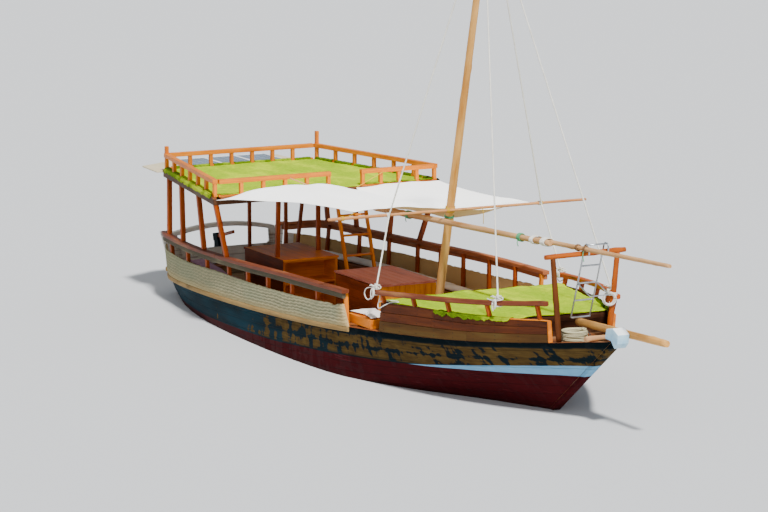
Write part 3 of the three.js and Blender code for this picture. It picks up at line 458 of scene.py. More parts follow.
class Joinery:
    """Gathers boards, poles and ropes into one mesh, each with its own place in the grain."""

    def __init__(self, seed=1):
        self.points, self.faces, self.grain, self.smooth, self.finish = [], [], [], [], []
        self.chance = random.Random(seed)

    def body(self, rings, soft=False, finish=0):
        """A body from equal rings of points. Its grain runs from ring to ring."""
        start, count, joints = len(self.points), len(rings[0]), len(rings) - 1
        shift = Vector([self.chance.uniform(0, 9) for _ in range(3)])
        far, before = 0.0, sum(rings[0], Vector()) / count
        for r, ring in enumerate(rings):
            middle = sum(ring, Vector()) / count
            far, before = far + (middle - before).length, middle
            across = (rings[min(r + 1, joints)][0] - rings[max(r - 1, 0)][0]).cross(up)
            across = across.normalized() if across.length > 1e-6 else Vector((1, 0, 0))
            self.points += ring
            self.grain += [shift + Vector((far, (p - middle).dot(across), p.z - middle.z)) for p in ring]
        for r in range(joints):
            for k in range(count):
                a, b = start + r * count + k, start + r * count + (k + 1) % count
                self.faces.append((a, b, b + count, a + count))
        last = start + joints * count
        self.faces += [tuple(range(start + count - 1, start - 1, -1)), tuple(range(last, last + count))]
        self.smooth += [soft] * (joints * count) + [False] * 2
        self.finish += [finish] * (joints * count + 2)

    def board(self, a, b, width, height, face=up, ease=0.006, finish=0):
        """A straight board from a to b with its long edges and ends eased, its face turned to face."""
        a, b = Vector(a), Vector(b)
        along = (b - a).normalized()
        across = Vector(face).cross(along).normalized()
        rise = along.cross(across)
        rings = []
        for at, less in ((a, ease * 0.7), (a + along * ease, 0), (b - along * ease, 0), (b, ease * 0.7)):
            w, h, e = width / 2 - less, height / 2 - less, ease
            outline = ((w, h - e), (w - e, h), (e - w, h), (-w, h - e),
                       (-w, e - h), (e - w, -h), (w - e, -h), (w, e - h))
            rings.append([at + across * u + rise * v for u, v in outline])
        self.body(rings, finish=finish)

    def tube(self, points, radius, sides=12, finish=0, soft=True, shape=None):
        """A round body along points. radius is a number or a function of the share of the way."""
        points = [Vector(p) for p in points]
        across = (points[1] - points[0]).normalized().orthogonal().normalized()
        rings, last = [], len(points) - 1
        for i, p in enumerate(points):
            run = (points[min(i + 1, last)] - points[max(i - 1, 0)]).normalized()
            across = (across - run * across.dot(run)).normalized()
            rise = run.cross(across)
            size = radius(i / last) if callable(radius) else radius
            rings.append([])
            for k in range(sides):
                turn = 2 * math.pi * k / sides
                reach = size * (shape(i, turn) if shape else 1)
                rings[-1].append(p + (across * math.cos(turn) + rise * math.sin(turn)) * reach)
        self.body(rings, soft, finish)

    def build(self, name, finishes, *nodes):
        """The piece with everything gathered. It stands in for the frame's nodes, where some are given."""
        piece = cased(name, self.points, self.faces, self.finish, self.smooth, finishes)
        grain = piece.data.attributes.new("grain", "FLOAT_VECTOR", "POINT")
        grain.data.foreach_set("vector", np.array(self.grain, np.float32).ravel())
        return fit(piece, *nodes) if nodes else piece


def eased_ring(corners, ease):
    """A ring of points from corners, each corner cut back by ease along both its edges."""
    ring = []
    for i, c in enumerate(corners):
        for other in (corners[i - 1], corners[(i + 1) % len(corners)]):
            ring.append(c + (other - c).normalized() * min(ease, (other - c).length * 0.45))
    return ring


def side_sweep(joinery, x0, x1, side, corners, ease=0.008, finish=0):
    """A timber along one side. corners(x) gives its section as pairs of breadth and height."""
    count = max(int((x1 - x0) / 0.12), 2)
    places = [x0] + [x0 + (x1 - x0) * i / count for i in range(count + 1)] + [x1]
    rings = []
    for i, x in enumerate(places):
        x = x + ease * (i == 1) - ease * (i == len(places) - 2)
        ring = eased_ring([Vector((x, side * half, z)) for half, z in corners(x)], ease)
        if i in (0, len(places) - 1):
            middle = sum(ring, Vector()) / len(ring)
            ring = [p + (middle - p).normalized() * ease * 0.7 for p in ring]
        rings.append(ring)
    joinery.body(rings, finish=finish)


def ends_of(node):
    """Where a piece starts and stops along the boat."""
    low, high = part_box(node)
    return low.x, high.x


sides = (("starboard", -1), ("port", 1))
edge_breadth, edge_height = sheer("wale_starboard", True, False)
wale_depth, wale_proud = 0.085, 0.042


def wale_section(x):
    half, z = edge_breadth(x), edge_height(x)
    outline = ((0, 0), (0.8, 0), (1, 0.5), (0.7, 1), (0, 1))
    return [(half + wale_proud * out, z - wale_depth * down) for out, down in outline]


tan_paint = timber("tan_strake", "b3935c", "7c5f36", 0.7, "5f4c30", 0.35)
for side_name, side in sides:
    strake = Joinery(2)
    side_sweep(strake, *ends_of("wale_starboard"), side, wale_section)
    strake.build(f"rubbing_strake_{side_name}", [tan_paint], f"wale_{side_name}")


# Matting: woven palm leaf laid over the bulwark and sewn along its edges, grey-green with weather
# outside and straw inside, tan where it is folded round the end at the entry. The straw of the inside
# is painted paler still, as painted light on a side that is in shade. Aft of it the side ends in a
# short pale board.
def matting():
    finish = Finish("woven_mat", Specular_IOR_Level=0.1)
    rib = finish.mark("rib")
    plait = finish.noise((38, 38, 90), 2)
    strips = finish.noise((16, 16, 5), 2)
    colour = finish.mix("666a52", "b6ac88", rib * 0.35 + plait * 0.6 + strips * 0.5 - 0.28)
    colour = finish.mix(colour, "858a6e", finish.noise((1.1, 1, 3), 3).rise(0.42, 0.62) * 0.4)
    colour = finish.mix(colour, "b9a06c", finish.mark("low").rise(0.6, 1.0) * 0.45)
    colour = finish.mix(colour, "cfae74", finish.axis("X").rise(1.85, 2.3) * 0.6)
    # The inner faces: straw colour, painted paler as painted light on the shaded inside.
    colour = finish.mix(colour, "dcb87e", finish.mark("inner") * 0.85)
    return finish.wear(colour, plait + rib * 0.4, 0.004, Roughness=0.95)


def cloud(*place):
    """Smooth noise at a place, between about -1 and 1."""
    return noise.noise(Vector(place))


mat_material = matting()
mat_rows, mat_step, mat_inset, rib_spacing, rib_depth = 44, 0.026, 0.014, 0.052, 0.004
stern_board_long, fold_long, pulled_aft, wave_long = 0.2, 0.6, 0.15, 0.17
for side_name, side in sides:
    node = f"mat_bulwark_{side_name}"
    face, (x0, x1) = side_face(node), ends_of(node)
    columns = int((x1 - x0) / mat_step)
    rings, marks = [], {"rib": [], "low": [], "inner": []}
    for i in range(columns + 1):
        station = x0 + (x1 - x0) * i / columns
        folded = max(0.0, (station - x1 + fold_long) / fold_long) ** 2
        end = min(1.0, (station - x0) / 0.05, (x1 - station) / 0.07)
        woven = min(1.0, max(0.0, (station - x0 - stern_board_long) / 0.05))
        ragged = 0.012 * cloud(station * 9, side, 3) + 0.006 * cloud(station * 40, side, 5)
        dip = 0.008 + 0.04 * math.exp(-((station - x1 + 0.42) / 0.14) ** 2) - ragged * woven
        ring = []
        for j in range(mat_rows + 1):
            v = j / mat_rows
            x = station - pulled_aft * folded * v ** 1.5
            (_, low_z), (half, z) = face(x, 0), face(x, v)
            z -= dip * v
            wave = math.sin(2 * math.pi * x / wave_long + j * 0.3) + 3.2 * cloud(x * 1.9, side * 2, z * 2)
            rib = math.sin(2 * math.pi * (z - low_z) / rib_spacing + wave)
            sag = 0.010 * cloud(x * 1.6, side * 5, z * 1.5) * woven
            pillow = (1 - (2 * v - 1) ** 8) * (0.012 + 0.014 * folded) * math.sqrt(max(end, 0.0)) * woven
            proud = rib_depth * rib * min(1, 6 * v, 6 * (1 - v)) * woven
            ring.append(Vector((x, side * (half - mat_inset + pillow + sag + proud), z)))
            marks["rib"].append(0.5 + 0.5 * rib)
            marks["low"].append(1 - v)
        top, bottom = ring[-1], ring[0]
        ring.append(Vector((top.x, side * face(top.x, 1, False)[0], top.z - 0.004)))
        ring.append(Vector((bottom.x, side * face(bottom.x, 0, False)[0], bottom.z)))
        # The inner mark picks the faces that get the painted light.
        for mark, inside in (("rib", [0.5, 0.5]), ("low", [0, 1]), ("inner", [0] * (mat_rows + 1) + [1, 1])):
            marks[mark] += inside
        rings.append(ring)
    mat = Joinery()
    mat.body(rings, soft=True)
    mat_piece = mat.build(f"woven_mat_{side_name}", [mat_material, pale_arch], node)
    for mark, values in marks.items():
        mat_piece.data.attributes.new(mark, "FLOAT", "POINT").data.foreach_set("value", values)
    for polygon in mat_piece.data.polygons:
        polygon.material_index = int(polygon.center.x < x0 + stern_board_long)
    mat_piece.data.set_sharp_from_angle(angle=math.radians(60))


# Bow bulwarks: three planks a side over the hull's edge, the lowest bleached to olive and the two
# over it dark red-brown, with nail heads at each frame. Toward the fore end the cap and the end
# timber keep their orange varnish.
olive_plank = timber("bleached_plank", "5c3e18", "301d0a", 0.7, "4e401e", 0.35)
red_plank = timber("dark_red_plank", "663010", "260f06", 0.6, "553618", 0.35)
orange_wood = timber("orange_varnish", "f49016", "b65608", 0.42, "9e5814", 0.2)
nail_iron = Finish("nail_iron", Base_Color="1c1512", Roughness=0.7, Metallic=0.6).material
plank_gap, nail_spacing, nail_size, end_timber, varnished_from = 0.004, 0.38, 0.008, 0.022, 5.7
plank_levels, nail_levels = (0.0, 0.37, 0.68, 0.985), (0.1, 0.27, 0.45, 0.6, 0.76, 0.9)
for side_name, side in sides:
    node = f"bow_bulwark_{side_name}"
    face, (x0, x1) = side_face(node), ends_of(node)
    planks = Joinery(4)

    def strake(start, stop, v0, v1, proud, ease, finish):
        def corners(x):
            places = ((v0, True), (v1, True), (v1, False), (v0, False))
            return [(half + proud * out, z) for v, out in places for half, z in [face(x, v, out)]]

        side_sweep(planks, start, stop, side, corners, ease, finish)

    for row, (v0, v1) in enumerate(zip(plank_levels, plank_levels[1:])):
        joint = x0 + (1.9, 1.2, 2.3)[row]
        for start, stop in ((x0, joint - plank_gap / 2), (joint + plank_gap / 2, x1 - end_timber)):
            strake(start, stop, v0 + 0.006, v1 - 0.006, 0, 0.006, int(row > 0))
    strake(x0, varnished_from, 0.972, 1.0, 0.004, 0.004, 1)
    strake(varnished_from, x1 - end_timber, 0.955, 1.0, 0.006, 0.004, 2)
    strake(x1 - end_timber, x1, 0.0, 1.0, 0.010, 0.005, 2)
    for column in range(int((x1 - x0) / nail_spacing)):
        x = x0 + 0.12 + column * nail_spacing
        for half, z in (face(x, v) for v in nail_levels):
            planks.tube([(x, side * (half + out), z) for out in (-0.004, 0.0015)], nail_size, 8, 3, False)
    planks.build(f"bow_planks_{side_name}", [olive_plank, red_plank, orange_wood, nail_iron], node)


# Rails: a broad cap plank on posts, varnished red-brown on top, with a grey weathered board under
# its outer edge. The aft rail ends in a slanted cut at the entry; the bow rail is a lighter bar. On
# the port side both rails take paler, more orange copies of the wood, as painted light on their
# inner faces.
def top_of(node):
    """Breadths of the inner and outer edge of a piece's top, and its height, along the boat."""
    rows = []
    for x, points in by_station(node, lambda face: face.normal.z > 0.9).items():
        breadths = [abs(p.y) for p in points]
        if max(breadths) - min(breadths) > 0.05:
            rows.append((x, min(breadths), max(breadths), max(p.z for p in points)))
    xs, *columns = zip(*rows)
    return [line_through(xs, column) for column in columns]


def squared(inner, outer, high, low):
    return [(inner, high), (outer, high), (outer, low), (inner, low)]


cap_wood = timber("rail_cap", "86442c", "48220f", 0.5, "94643e", 0.3)
grey_wood = timber("weathered_board", "655d48", "353026", 0.8, "7d745a", 0.3)
# A paler copy of the rail wood for the port aft rail: painted light on its shaded inner face.
port_aft_rail_wood_painted_light = timber("port_aft_rail_painted_light", "c47444", "7a4024", 0.55, "a88060", 0.3)
post_wood = timber("orange_post", "b8520e", "622708", 0.45, "6a3a14", 0.25)
# An orange copy for the port bow rail: painted sunlight on its inner face.
port_bow_rail_wood_painted_light = timber("port_bow_rail_painted_light", "cc5f16", "84320a", 0.45, "7a4420", 0.25)
aft_posts, fore_posts = (-5.2, -4.2, -3.2, -2.2, -1.4, -0.6, 0.3, 1.2, 2.12), (3.11, 3.85, 4.6, 5.35, 6.15)
cap_depth, cap_joint, bar_depth, apron_depth, apron_in, apron_out = 0.066, -2.6, 0.075, 0.15, 0.085, 0.025
for side_name, side in sides:
    node = f"rail_aft_{side_name}"
    (inner, outer, top), (x0, x1) = top_of(node), ends_of(node)
    rail = Joinery(6)
    for start, stop in ((x0, cap_joint), (cap_joint, x1)):
        side_sweep(rail, start + 0.001, stop - 0.001, side,
                   lambda x: squared(inner(x), outer(x), top(x), top(x) - cap_depth), 0.01)
    side_sweep(rail, x0 + 0.01, x1 - 0.03, side, lambda x: squared(
        outer(x) - apron_in, outer(x) - apron_out, top(x) - cap_depth, top(x) - apron_depth), 0.006, 1)
    for x in aft_posts:
        foot = Vector((x, side * (edge_breadth(x) - 0.05), edge_height(x) + 0.001))
        head = Vector((x, side * (inner(x) + 0.022), top(x) - cap_depth))
        rail.board(foot, head, 0.062, 0.062, (1, 0, 0), finish=3 if x == aft_posts[-1] else 2)
    # The port side takes the paler copy for cap and board alike, as painted light.
    boards = [cap_wood, grey_wood] if side < 0 else [port_aft_rail_wood_painted_light, port_aft_rail_wood_painted_light]
    rail.build(f"aft_rail_{side_name}", boards + [post_wood, orange_wood], node)

    node, bulwark = f"rail_bow_{side_name}", side_face(f"bow_bulwark_{side_name}")
    (inner, outer, top), (x0, x1) = top_of(node), ends_of(node)
    rail = Joinery(7)
    side_sweep(rail, x0, x1, side, lambda x: squared(inner(x), outer(x), top(x), top(x) - bar_depth), 0.014)
    for x in fore_posts:
        half, z = bulwark(x, 1)
        head = Vector((x, side * (inner(x) + outer(x)) / 2, top(x) - 0.07))
        rail.board((x, side * (half - 0.03), z + 0.001), head, 0.06, 0.06, (1, 0, 0), finish=1)
    rail.build(f"bow_rail_{side_name}", [cap_wood if side < 0 else port_bow_rail_wood_painted_light, post_wood], node)


# Decks: planks laid fore and aft on the beams and nailed, worn bare on the cockpit's sole and oiled
# dark at the bow.
worn_sole = timber("worn_sole", "a07a50", "5f4126", 0.75, "8c8269", 0.5, plank=0.14)
dark_deck = timber("dark_deck", "5f3620", "2f1a10", 0.65, "5a4632", 0.4, plank=0.12)
eased("cockpit_sole", "sole_planks", [worn_sole], 0.0)
eased("foredeck", "foredeck_planks", [dark_deck], 0.008)


# Turf: bright green artificial grass on a dark backing, cut by hand to the deck, with a short pile
# and an edge that curls where it isn't held, and a painted yellow-green sheen in patches. Strips of
# it lie over the bulwark's top between the posts, and their ragged ends hang down outside. The
# strips are a darker green copy of the turf, as painted shade.
def grass(name, bright, deep):
    finish = Finish(name, Specular_IOR_Level=0.1)
    blades, tufts, lie = finish.noise(90, 3), finish.noise(14, 4), finish.noise((1.1, 2.4, 1), 3)
    colour = finish.mix(deep, bright, blades * 0.7 + tufts * 0.7 + lie * 0.8 - 0.6)
    # Yellow-green patches where the pile lies one way are a painted sheen.
    colour = finish.mix(colour, "cfe01c", (lie + tufts * 0.25).rise(0.62, 0.85) * 0.5)
    return finish.wear(colour, blades + tufts * 0.8, 0.008, Roughness=0.92)


bright_turf = grass("bright_turf", "c4dc00", "6a9800")
turf_backing = grass("turf_backing", "3a4a08", "14180a")
# A darker copy of the turf, for the strips that lie over edges and hang down: painted shade.
turf_painted_shade = grass("turf_painted_shade", "7a9c02", "1e3202")
turf_step, pile, curl_wide = 0.03, 0.006, 0.09


def closed_sheet(name, grids, finishes, rim_finish=0, open_at=lambda i, j: False):
    """Closed sheets, each from two equal grids of points. The second grid is its underside, in the
    last finish. open_at(i, j) tells which cells are left out."""
    points, faces, kinds = [], [], []
    for top, bottom in grids:
        rows, columns, start = len(top), len(top[0]), len(points)
        under = rows * columns
        points += [p for grid in (top, bottom) for row in grid for p in row]
        corners = [start + i * columns + j for i in range(rows - 1) for j in range(columns - 1)
                   if not open_at(i, j)]
        cells = [(a, a + columns, a + columns + 1, a + 1) for a in corners]
        edges = {edge for cell in cells for edge in zip(cell, cell[1:] + cell[:1])}
        rim = sorted((a, b) for a, b in edges if (b, a) not in edges)
        faces += cells + [tuple(v + under for v in reversed(cell)) for cell in cells]
        faces += [(b, a, a + under, b + under) for a, b in rim]
        kinds += [0] * len(cells) + [len(finishes) - 1] * len(cells) + [rim_finish] * len(rim)
    used = {v: i for i, v in enumerate(sorted({v for face in faces for v in face}))}
    faces = [[used[v] for v in face] for face in faces]
    return cased(name, [points[v] for v in used], faces, kinds, [True] * len(faces), finishes)


def turf(name, node, half, height, thickness, curl):
    """A sheet of turf as wide as half(x) to each side. Its edge is ragged and curls by up to curl."""
    x0, x1 = ends_of(node)
    long, wide = x1 - x0, 2 * max(half(x) for x in (x0, (x0 + x1) / 2, x1))
    rows, columns = int(long / turf_step), int(wide / turf_step)
    top, bottom = [], []
    for i in range(rows + 1):
        u = i / rows
        x = x0 + long * u
        top.append([])
        bottom.append([])
        for j in range(columns + 1):
            y = half(x) * (2 * j / columns - 1)
            edge = max(0.0, 1 - min(u * long, (1 - u) * long, half(x) - abs(y)) / curl_wide) ** 2
            ragged = 0.016 * cloud(x * 14, y * 14, 1) * edge
            lift = curl * edge * cloud(x * 2.3, y * 2.3, 4)
            rough = pile * (cloud(x * 23, y * 23, 0) + cloud(x * 5, y * 5, 8))
            at_end, at_side = (u == 1) - (u == 0), j in (0, columns)
            place = Vector((x + ragged * at_end, y + ragged * at_side, height(x, y)))
            top[-1].append(place + up * (thickness + rough + max(lift, -0.3 * thickness)))
            bottom[-1].append(place + up * max(lift, 0))
    return fit(closed_sheet(name, [(top, bottom)], [bright_turf]), node)


def spline(points, place):
    """The point on a smooth line through the points, where place counts them from 0."""
    i = min(int(place), len(points) - 2)
    t, a, b = place - i, points[i], points[i + 1]
    before, after = points[max(i - 1, 0)], points[min(i + 2, len(points) - 1)]
    bent = (2 * before - 5 * a + 4 * b - after) * t * t + (3 * a - before - 3 * b + after) * t ** 3
    return 0.5 * (2 * a + (b - before) * t + bent)


strip_step, strip_columns, strip_thick = 0.018, 18, 0.008


def laid_over(long, profile):
    """A strip of turf over an edge. profile(share) is the line under it from inboard to its hem."""
    rows = max(int(long / strip_step), 3)
    over, under = [], []
    for line in (profile(i / rows) for i in range(rows + 1)):
        under.append([spline(line, (len(line) - 1) * j / strip_columns) for j in range(strip_columns + 1)])
    for i, row in enumerate(under):
        along = under[min(i + 1, rows)][0] - under[max(i - 1, 0)][0]
        steps = (row[min(j + 1, strip_columns)] - row[max(j - 1, 0)] for j in range(strip_columns + 1))
        way = [along.cross(step).normalized() for step in steps]
        sign = 1 if way[strip_columns // 2].z > 0 else -1
        over.append([p + out * sign * (strip_thick + 0.006 * cloud(*(p * 25))) for p, out in zip(row, way)])
    return over, under


def hem(p, share, long, ragged):
    """How far a strip hangs down at a place. It is cut shorter at its two ends."""
    cut = 1 - 0.6 * (2 * share - 1) ** 24
    return (long + ragged * cloud(*(p * 9)) + 0.5 * ragged * cloud(*(p * 34))) * cut


_, deck_half, deck_top = top_of("foredeck_turf")
turf("foredeck_turf_mat", "foredeck_turf", lambda x: deck_half(x) + 0.006,
     lambda x, y: deck_top(x) - 0.036 + 0.010 * (1 - abs(y) / deck_half(x)), 0.022, 0.045)
strip_runs = ((4.40, 4.562, False), (4.638, 5.312, False), (5.388, 5.72, False), (4.32, 5.72, True))
over_bulwark = []
for side_name, side in sides:
    face = side_face(f"bow_bulwark_{side_name}")
    for x0, x1, outside_posts in strip_runs:

        def profile(share):
            x = x0 + (x1 - x0) * share
            (inside, _), (outside, z), (low, low_z) = face(x, 1, False), face(x, 1), face(x, 0)
            line = [(inside - 0.010, z - 0.05), (inside - 0.009, z - 0.004), (inside + 0.012, z + 0.009),
                    (outside - 0.012, z + 0.009), (outside + 0.006, z + 0.004)]
            if outside_posts:
                drop = hem(Vector((x, side, 0)), share, 0.055, 0.05)
                lean = (outside - low) / (z - low_z) * drop
                line = [(outside + 0.007, z + 0.002), (outside + 0.012, z - 0.008),
                        (outside + 0.014 - lean / 2, z - drop / 2), (outside + 0.022 - lean, z - drop)]
            return [Vector((x, side * half, height)) for half, height in line]

        over_bulwark.append(laid_over(x1 - x0, profile))
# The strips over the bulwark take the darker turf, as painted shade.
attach(closed_sheet("bulwark_turf", over_bulwark, [turf_painted_shade, turf_backing], 1), "boat")


# Round poles: peeled trunks, a little bent, with knots where branches were cut off, and streaks
# from pale to orange along them. The mast stands in a chock; the bow has a cross log and a bowsprit.
def peeled(name, pale, dark):
    finish = Finish(name, Specular_IOR_Level=0.16)
    grain = finish.mark("grain", "Vector")
    streaks = finish.noise((0.9, 26, 26), 4, grain)
    blotches = finish.noise((1.6, 5, 5), 4, grain)
    rings = finish.noise((9, 1.5, 1.5), 2, grain)
    colour = finish.mix(dark, pale, streaks * 0.9 + blotches * 1.2 - 0.62)
    colour = finish.mix(colour, "5b3a1f", (blotches + rings * 0.3).rise(0.84, 0.92) * 0.7)
    return finish.wear(colour, streaks + rings * 0.4, 0.002, Roughness=0.5 + streaks * 0.2)


def trunk(joinery, a, b, thick, thin, seed, sides=20, bend=0.0, finish=0):
    """A peeled trunk from a to b: it wanders a little off the straight, and swells at its knots."""
    a, b = Vector(a), Vector(b)
    long, chance = (b - a).length, random.Random(seed)
    count = max(int(long / 0.09), 4)
    knots = [(chance.uniform(0.05, 0.95), chance.uniform(0, 6.28)) for _ in range(int(long * 2) + 1)]

    def at(share):
        wander = Vector([cloud(share * 3, seed, 1.7 + 9 * k) for k in range(3)])
        return a.lerp(b, share) + wander * bend * math.sin(math.pi * share)

    def shape(i, turn):
        here = i / count
        swell = sum(0.2 * math.exp(-(((here - s) * long / 0.045) ** 2) - 2 * (1 - math.cos(turn - t)))
                    for s, t in knots)
        return 1 + swell + 0.035 * cloud(here * long * 2, math.cos(turn), math.sin(turn) + seed)

    joinery.tube([at(i / count) for i in range(count + 1)],
                 lambda share: (thick + (thin - thick) * share) * (0.9 if share in (0, 1) else 1),
                 sides, finish, shape=shape)


def pole(name, node, axis, thick, thin, seed, knot_seed, sides, wood):
    """A straight pole between the middles of its node's two ends."""
    points = [v.co for v in frame["nodes"][node].data.vertices]
    ends = []
    for sign in (-1, 1):
        last = max(sign * p[axis] for p in points)
        rim = [p for p in points if sign * p[axis] > last - 0.012]
        ends.append([(min(c) + max(c)) / 2 for c in zip(*rim)])
    spar = Joinery(seed)
    trunk(spar, *ends, thick, thin, knot_seed, sides)
    spar.build(name, [wood], node)


mast_wood = peeled("mast_pole", "f2be70", "b87830")
grey_pole = peeled("weathered_pole", "d8a878", "8f6238")
mast_foot, mast_way, mast_length = Vector((1.7216, 0, 0.34)), Vector((0.24, 0, 1)).normalized(), 7.8
mast_thick, mast_thin, chock_z = 0.0735, 0.047, 0.365
mast = Joinery(11)
trunk(mast, mast_foot, mast_foot + mast_way * mast_length, mast_thick, mast_thin, 5, 24)
mast.tube([mast_foot + mast_way * (mast_length + d) for d in (-0.01, 0.004, 0.009)],
          lambda share: (0.043, 0.03, 0.008)[round(share * 2)], 24)
for y in (-0.112, 0.112):
    mast.board((1.542, y, chock_z), (1.902, y, chock_z), 0.075, 0.128, finish=1)
for x in (1.585, 1.86):
    mast.board((x, -0.074, chock_z), (x, 0.074, chock_z), 0.08, 0.12, finish=1)
mast.build("mast_and_chock", [mast_wood, dark_deck], "mast")
pole("cross_log", "bow_cross_log", 1, 0.044, 0.041, 12, 8, 18, grey_pole)
pole("bowsprit_pole", "bowsprit", 0, 0.0605, 0.0545, 13, 9, 20, mast_wood)


# The block on the stem's head is a faceted timber, painted light blue with a white top, and let
# down over the stem. The white top and the blue sides are partly painted light: a sunlit top and
# shaded sides.
def block_paint(name, pale, shade):
    finish = Finish(name, Specular_IOR_Level=0.3)
    worn = finish.noise(7, 4)
    colour = finish.mix(shade, pale, worn.rise(0.3, 0.6))
    colour = finish.mix(colour, "8d8a80", finish.noise(24, 4).rise(0.68, 0.74) * 0.5)
    return finish.wear(colour, worn, 0.002, Roughness=0.5 + worn * 0.2)


block_paint_and_light = [block_paint("white_block_paint_and_sunlit_top", "f6f8f8", "e2e8ea"),
                 block_paint("blue_block_paint_and_shaded_sides", "b4d8ea", "94c2dc")]
# Faces turned up take the white and the rest take the blue. This is partly painted sunlight and shade.
eased("stemhead_block", "stemhead", block_paint_and_light, 0.014, lambda centre, normal: int(normal.z < 0.6))


# Gallows: two leaning posts and a bar, all round varnished poles, that hold the lowered yard. The
# posts stand on the hull's edge inside the bulwark.
gallows_wood = peeled("gallows_pole", "cc6612", "763208")
dark_post = peeled("dark_gallows_post", "763c0e", "30180a")
low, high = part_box("gallows_frame")
starboard_bow = side_face("bow_bulwark_starboard")
gallows = Joinery(14)
gallows_x, bar_z, foot_y, head_y, bar_thick = 6.39, 2.515, 0.42, 0.56, 0.040
foot_z = starboard_bow(gallows_x, 0)[1] + 0.016
for side in (-1, 1):
    foot = Vector((gallows_x - 0.01, side * foot_y, 1.1))
    head = Vector((gallows_x, side * head_y, bar_z))
    start = foot.lerp(head, (foot_z - foot.z) / (head.z - foot.z))
    trunk(gallows, start, head, 0.0445, 0.040, 20 + side, 16, 0.006, int(side < 0))
bar_ends = (gallows_x, low.y, bar_z - 0.008), (gallows_x, high.y, bar_z + 0.008)
trunk(gallows, *bar_ends, bar_thick, bar_thick, 23, 16)
gallows.build("gallows", [gallows_wood, dark_post], "gallows_frame")


# Yard: two spars lashed end to end, the after one thicker. It rests on the gallows, hangs at the
# mast by its lashing, and all of it moves with the yard.
yard_hinge = next(joint for joint in frame["record"]["behaviour"]["joints"] if joint["name"] == "yard_lift")
yard_rise = math.atan(0.0405)


def on_yard(along, aside=0.0, above=0.0):
    """A point on the yard, from the place where it hangs."""
    turn = Matrix.Rotation(-yard_rise, 3, "Y")
    return Vector(yard_hinge["pos_m"]) + turn @ Vector((along, aside, above))


spar_wood = peeled("yard_pole", "e4b884", "a87442")
yard = Joinery(15)
trunk(yard, on_yard(-2.29), on_yard(3.4), 0.0515, 0.0435, 31, 18)
trunk(yard, on_yard(2.8, 0.076, -0.002), on_yard(6.57, 0.066), 0.0385, 0.0305, 34, 16)
yard.build("yard_poles", [spar_wood], "yard_spars")
awning_wood = peeled("awning_pole_wood", "dba06a", "a96436")
pole("awning_spar", "awning_pole", 1, 0.0252, 0.0213, 16, 41, 14, awning_wood)


# Awning: one sheet of white cotton canvas, laced along the upper deck's front beam and tied to the
# pole. It domes over the cockpit in two lobes with a slit between them aft. Below, it is painted tan
# as painted light: the light that comes through the cloth and bounces up under it. Both faces glow a
# little as painted light, the top more than the underside.
def canvas(name, pale, shaded, glow):
    # The cloth glows by glow. This is painted light, because the cloth is no lamp.
    finish = Finish(name, Emission_Strength=glow, Specular_IOR_Level=0.1)
    weave = finish.noise((240, 240, 60), 2)
    # Broad clouds from the shaded to the pale colour are painted soft light and shade on the cloth.
    colour = finish.mix(shaded, pale, finish.noise(1.3, 3) * 1.2 + weave * 0.2 + 0.1)
    colour = finish.mix(colour, "c9b28c", finish.noise(4, 4).rise(0.68, 0.85) * 0.35)
    return finish.wear(colour, weave, 0.0008, Roughness=0.88, Emission_Color=colour)


# The top glows white. The underside is painted tan and glows less: painted light coming through the cloth.
glowing_canvas_top = canvas("glowing_canvas_top", "fffefb", "f4f1ea", 1.1)
canvas_under_painted_light = canvas("canvas_under_painted_light", "dfc08c", "c29c66", 0.22)


def cloth_row(points):
    """The middles of the cloth's thickness along one of its rows, from starboard to port."""
    across = {}
    for p in points:
        across.setdefault(round(p.y, 2), []).append(p)
    rows = (ps for _, ps in sorted(across.items()))
    return [Vector((*ps[0].xy, (min(p.z for p in ps) + max(p.z for p in ps)) / 2)) for ps in rows]


fore_row_from, tie_pitch, hem_wide, cloth_thick = 1.6, 0.535, 0.03, 0.0022
cloth_steps, cloth_columns, slit_column, slit_rows, slit_starboard, slit_port = 78, 108, 70, 13, 0.55, 0.668
stations = by_station("awning_cloth")
cloth_rows = [cloth_row(points) for x, points in stations.items() if x < fore_row_from]
cloth_rows.append(cloth_row([p for x, points in stations.items() if x >= fore_row_from for p in points]))


def past_slit(i, j):
    """The share across the cloth of one of its threads, pushed aside by the slit."""
    left, right, v = slit_column / cloth_columns, (slit_column + 1) / cloth_columns, j / cloth_columns
    open_share = max(0.0, 1 - i / slit_rows)
    if j <= slit_column:
        return v + (slit_starboard - left) * open_share * (v / left) ** 2
    return v + (slit_port - right) * open_share * ((1 - v) / (1 - right)) ** 2


def hump(value, middle, spread):
    """1 at the middle, falling to 0 on both sides of it."""
    return math.exp(-((value - middle) / spread) ** 2)


top, bottom = [], []
for i in range(cloth_steps + 1):
    u = i / cloth_steps
    row = [spline(line, (len(cloth_rows) - 1) * u) for line in zip(*cloth_rows)]
    top.append([])
    bottom.append([])
    for j in range(cloth_columns + 1):
        v = past_slit(i, j)
        p = spline(row, (len(row) - 1) * v)
        from_edge = min(u, 1 - u, v, 1 - v) * 4
        pull = 0.010 * math.exp(-u * 14) * abs(math.sin(math.pi * (p.y + 2.13) / tie_pitch))
        pull += 0.012 * math.exp(-(1 - u) * 12) * abs(math.sin(math.pi * v * 5))
        creases = 0.016 * cloud(p.x * 0.7, p.y * 3.4, 2) + 0.006 * cloud(p.x * 3, p.y * 5, 7)
        fold = 0.16 * hump(v, 0.62, 0.09) * hump(u, 0.22, 0.2) * min(1, u * 12)
        belly = 0.035 * hump(v, 0.09, 0.08) - 0.055 * hump(v, 0.36, 0.14)
        belly *= hump(u, 0.2, 0.18) * min(1, u * 8)
        p.z += creases * min(1, from_edge * 2.5) - pull * (u < 0.5) + pull * (u > 0.5) - fold + belly
        half = up * cloth_thick * (1.0 if from_edge < hem_wide else 0.5)
        top[-1].append(p + half)
        bottom[-1].append(p - half)
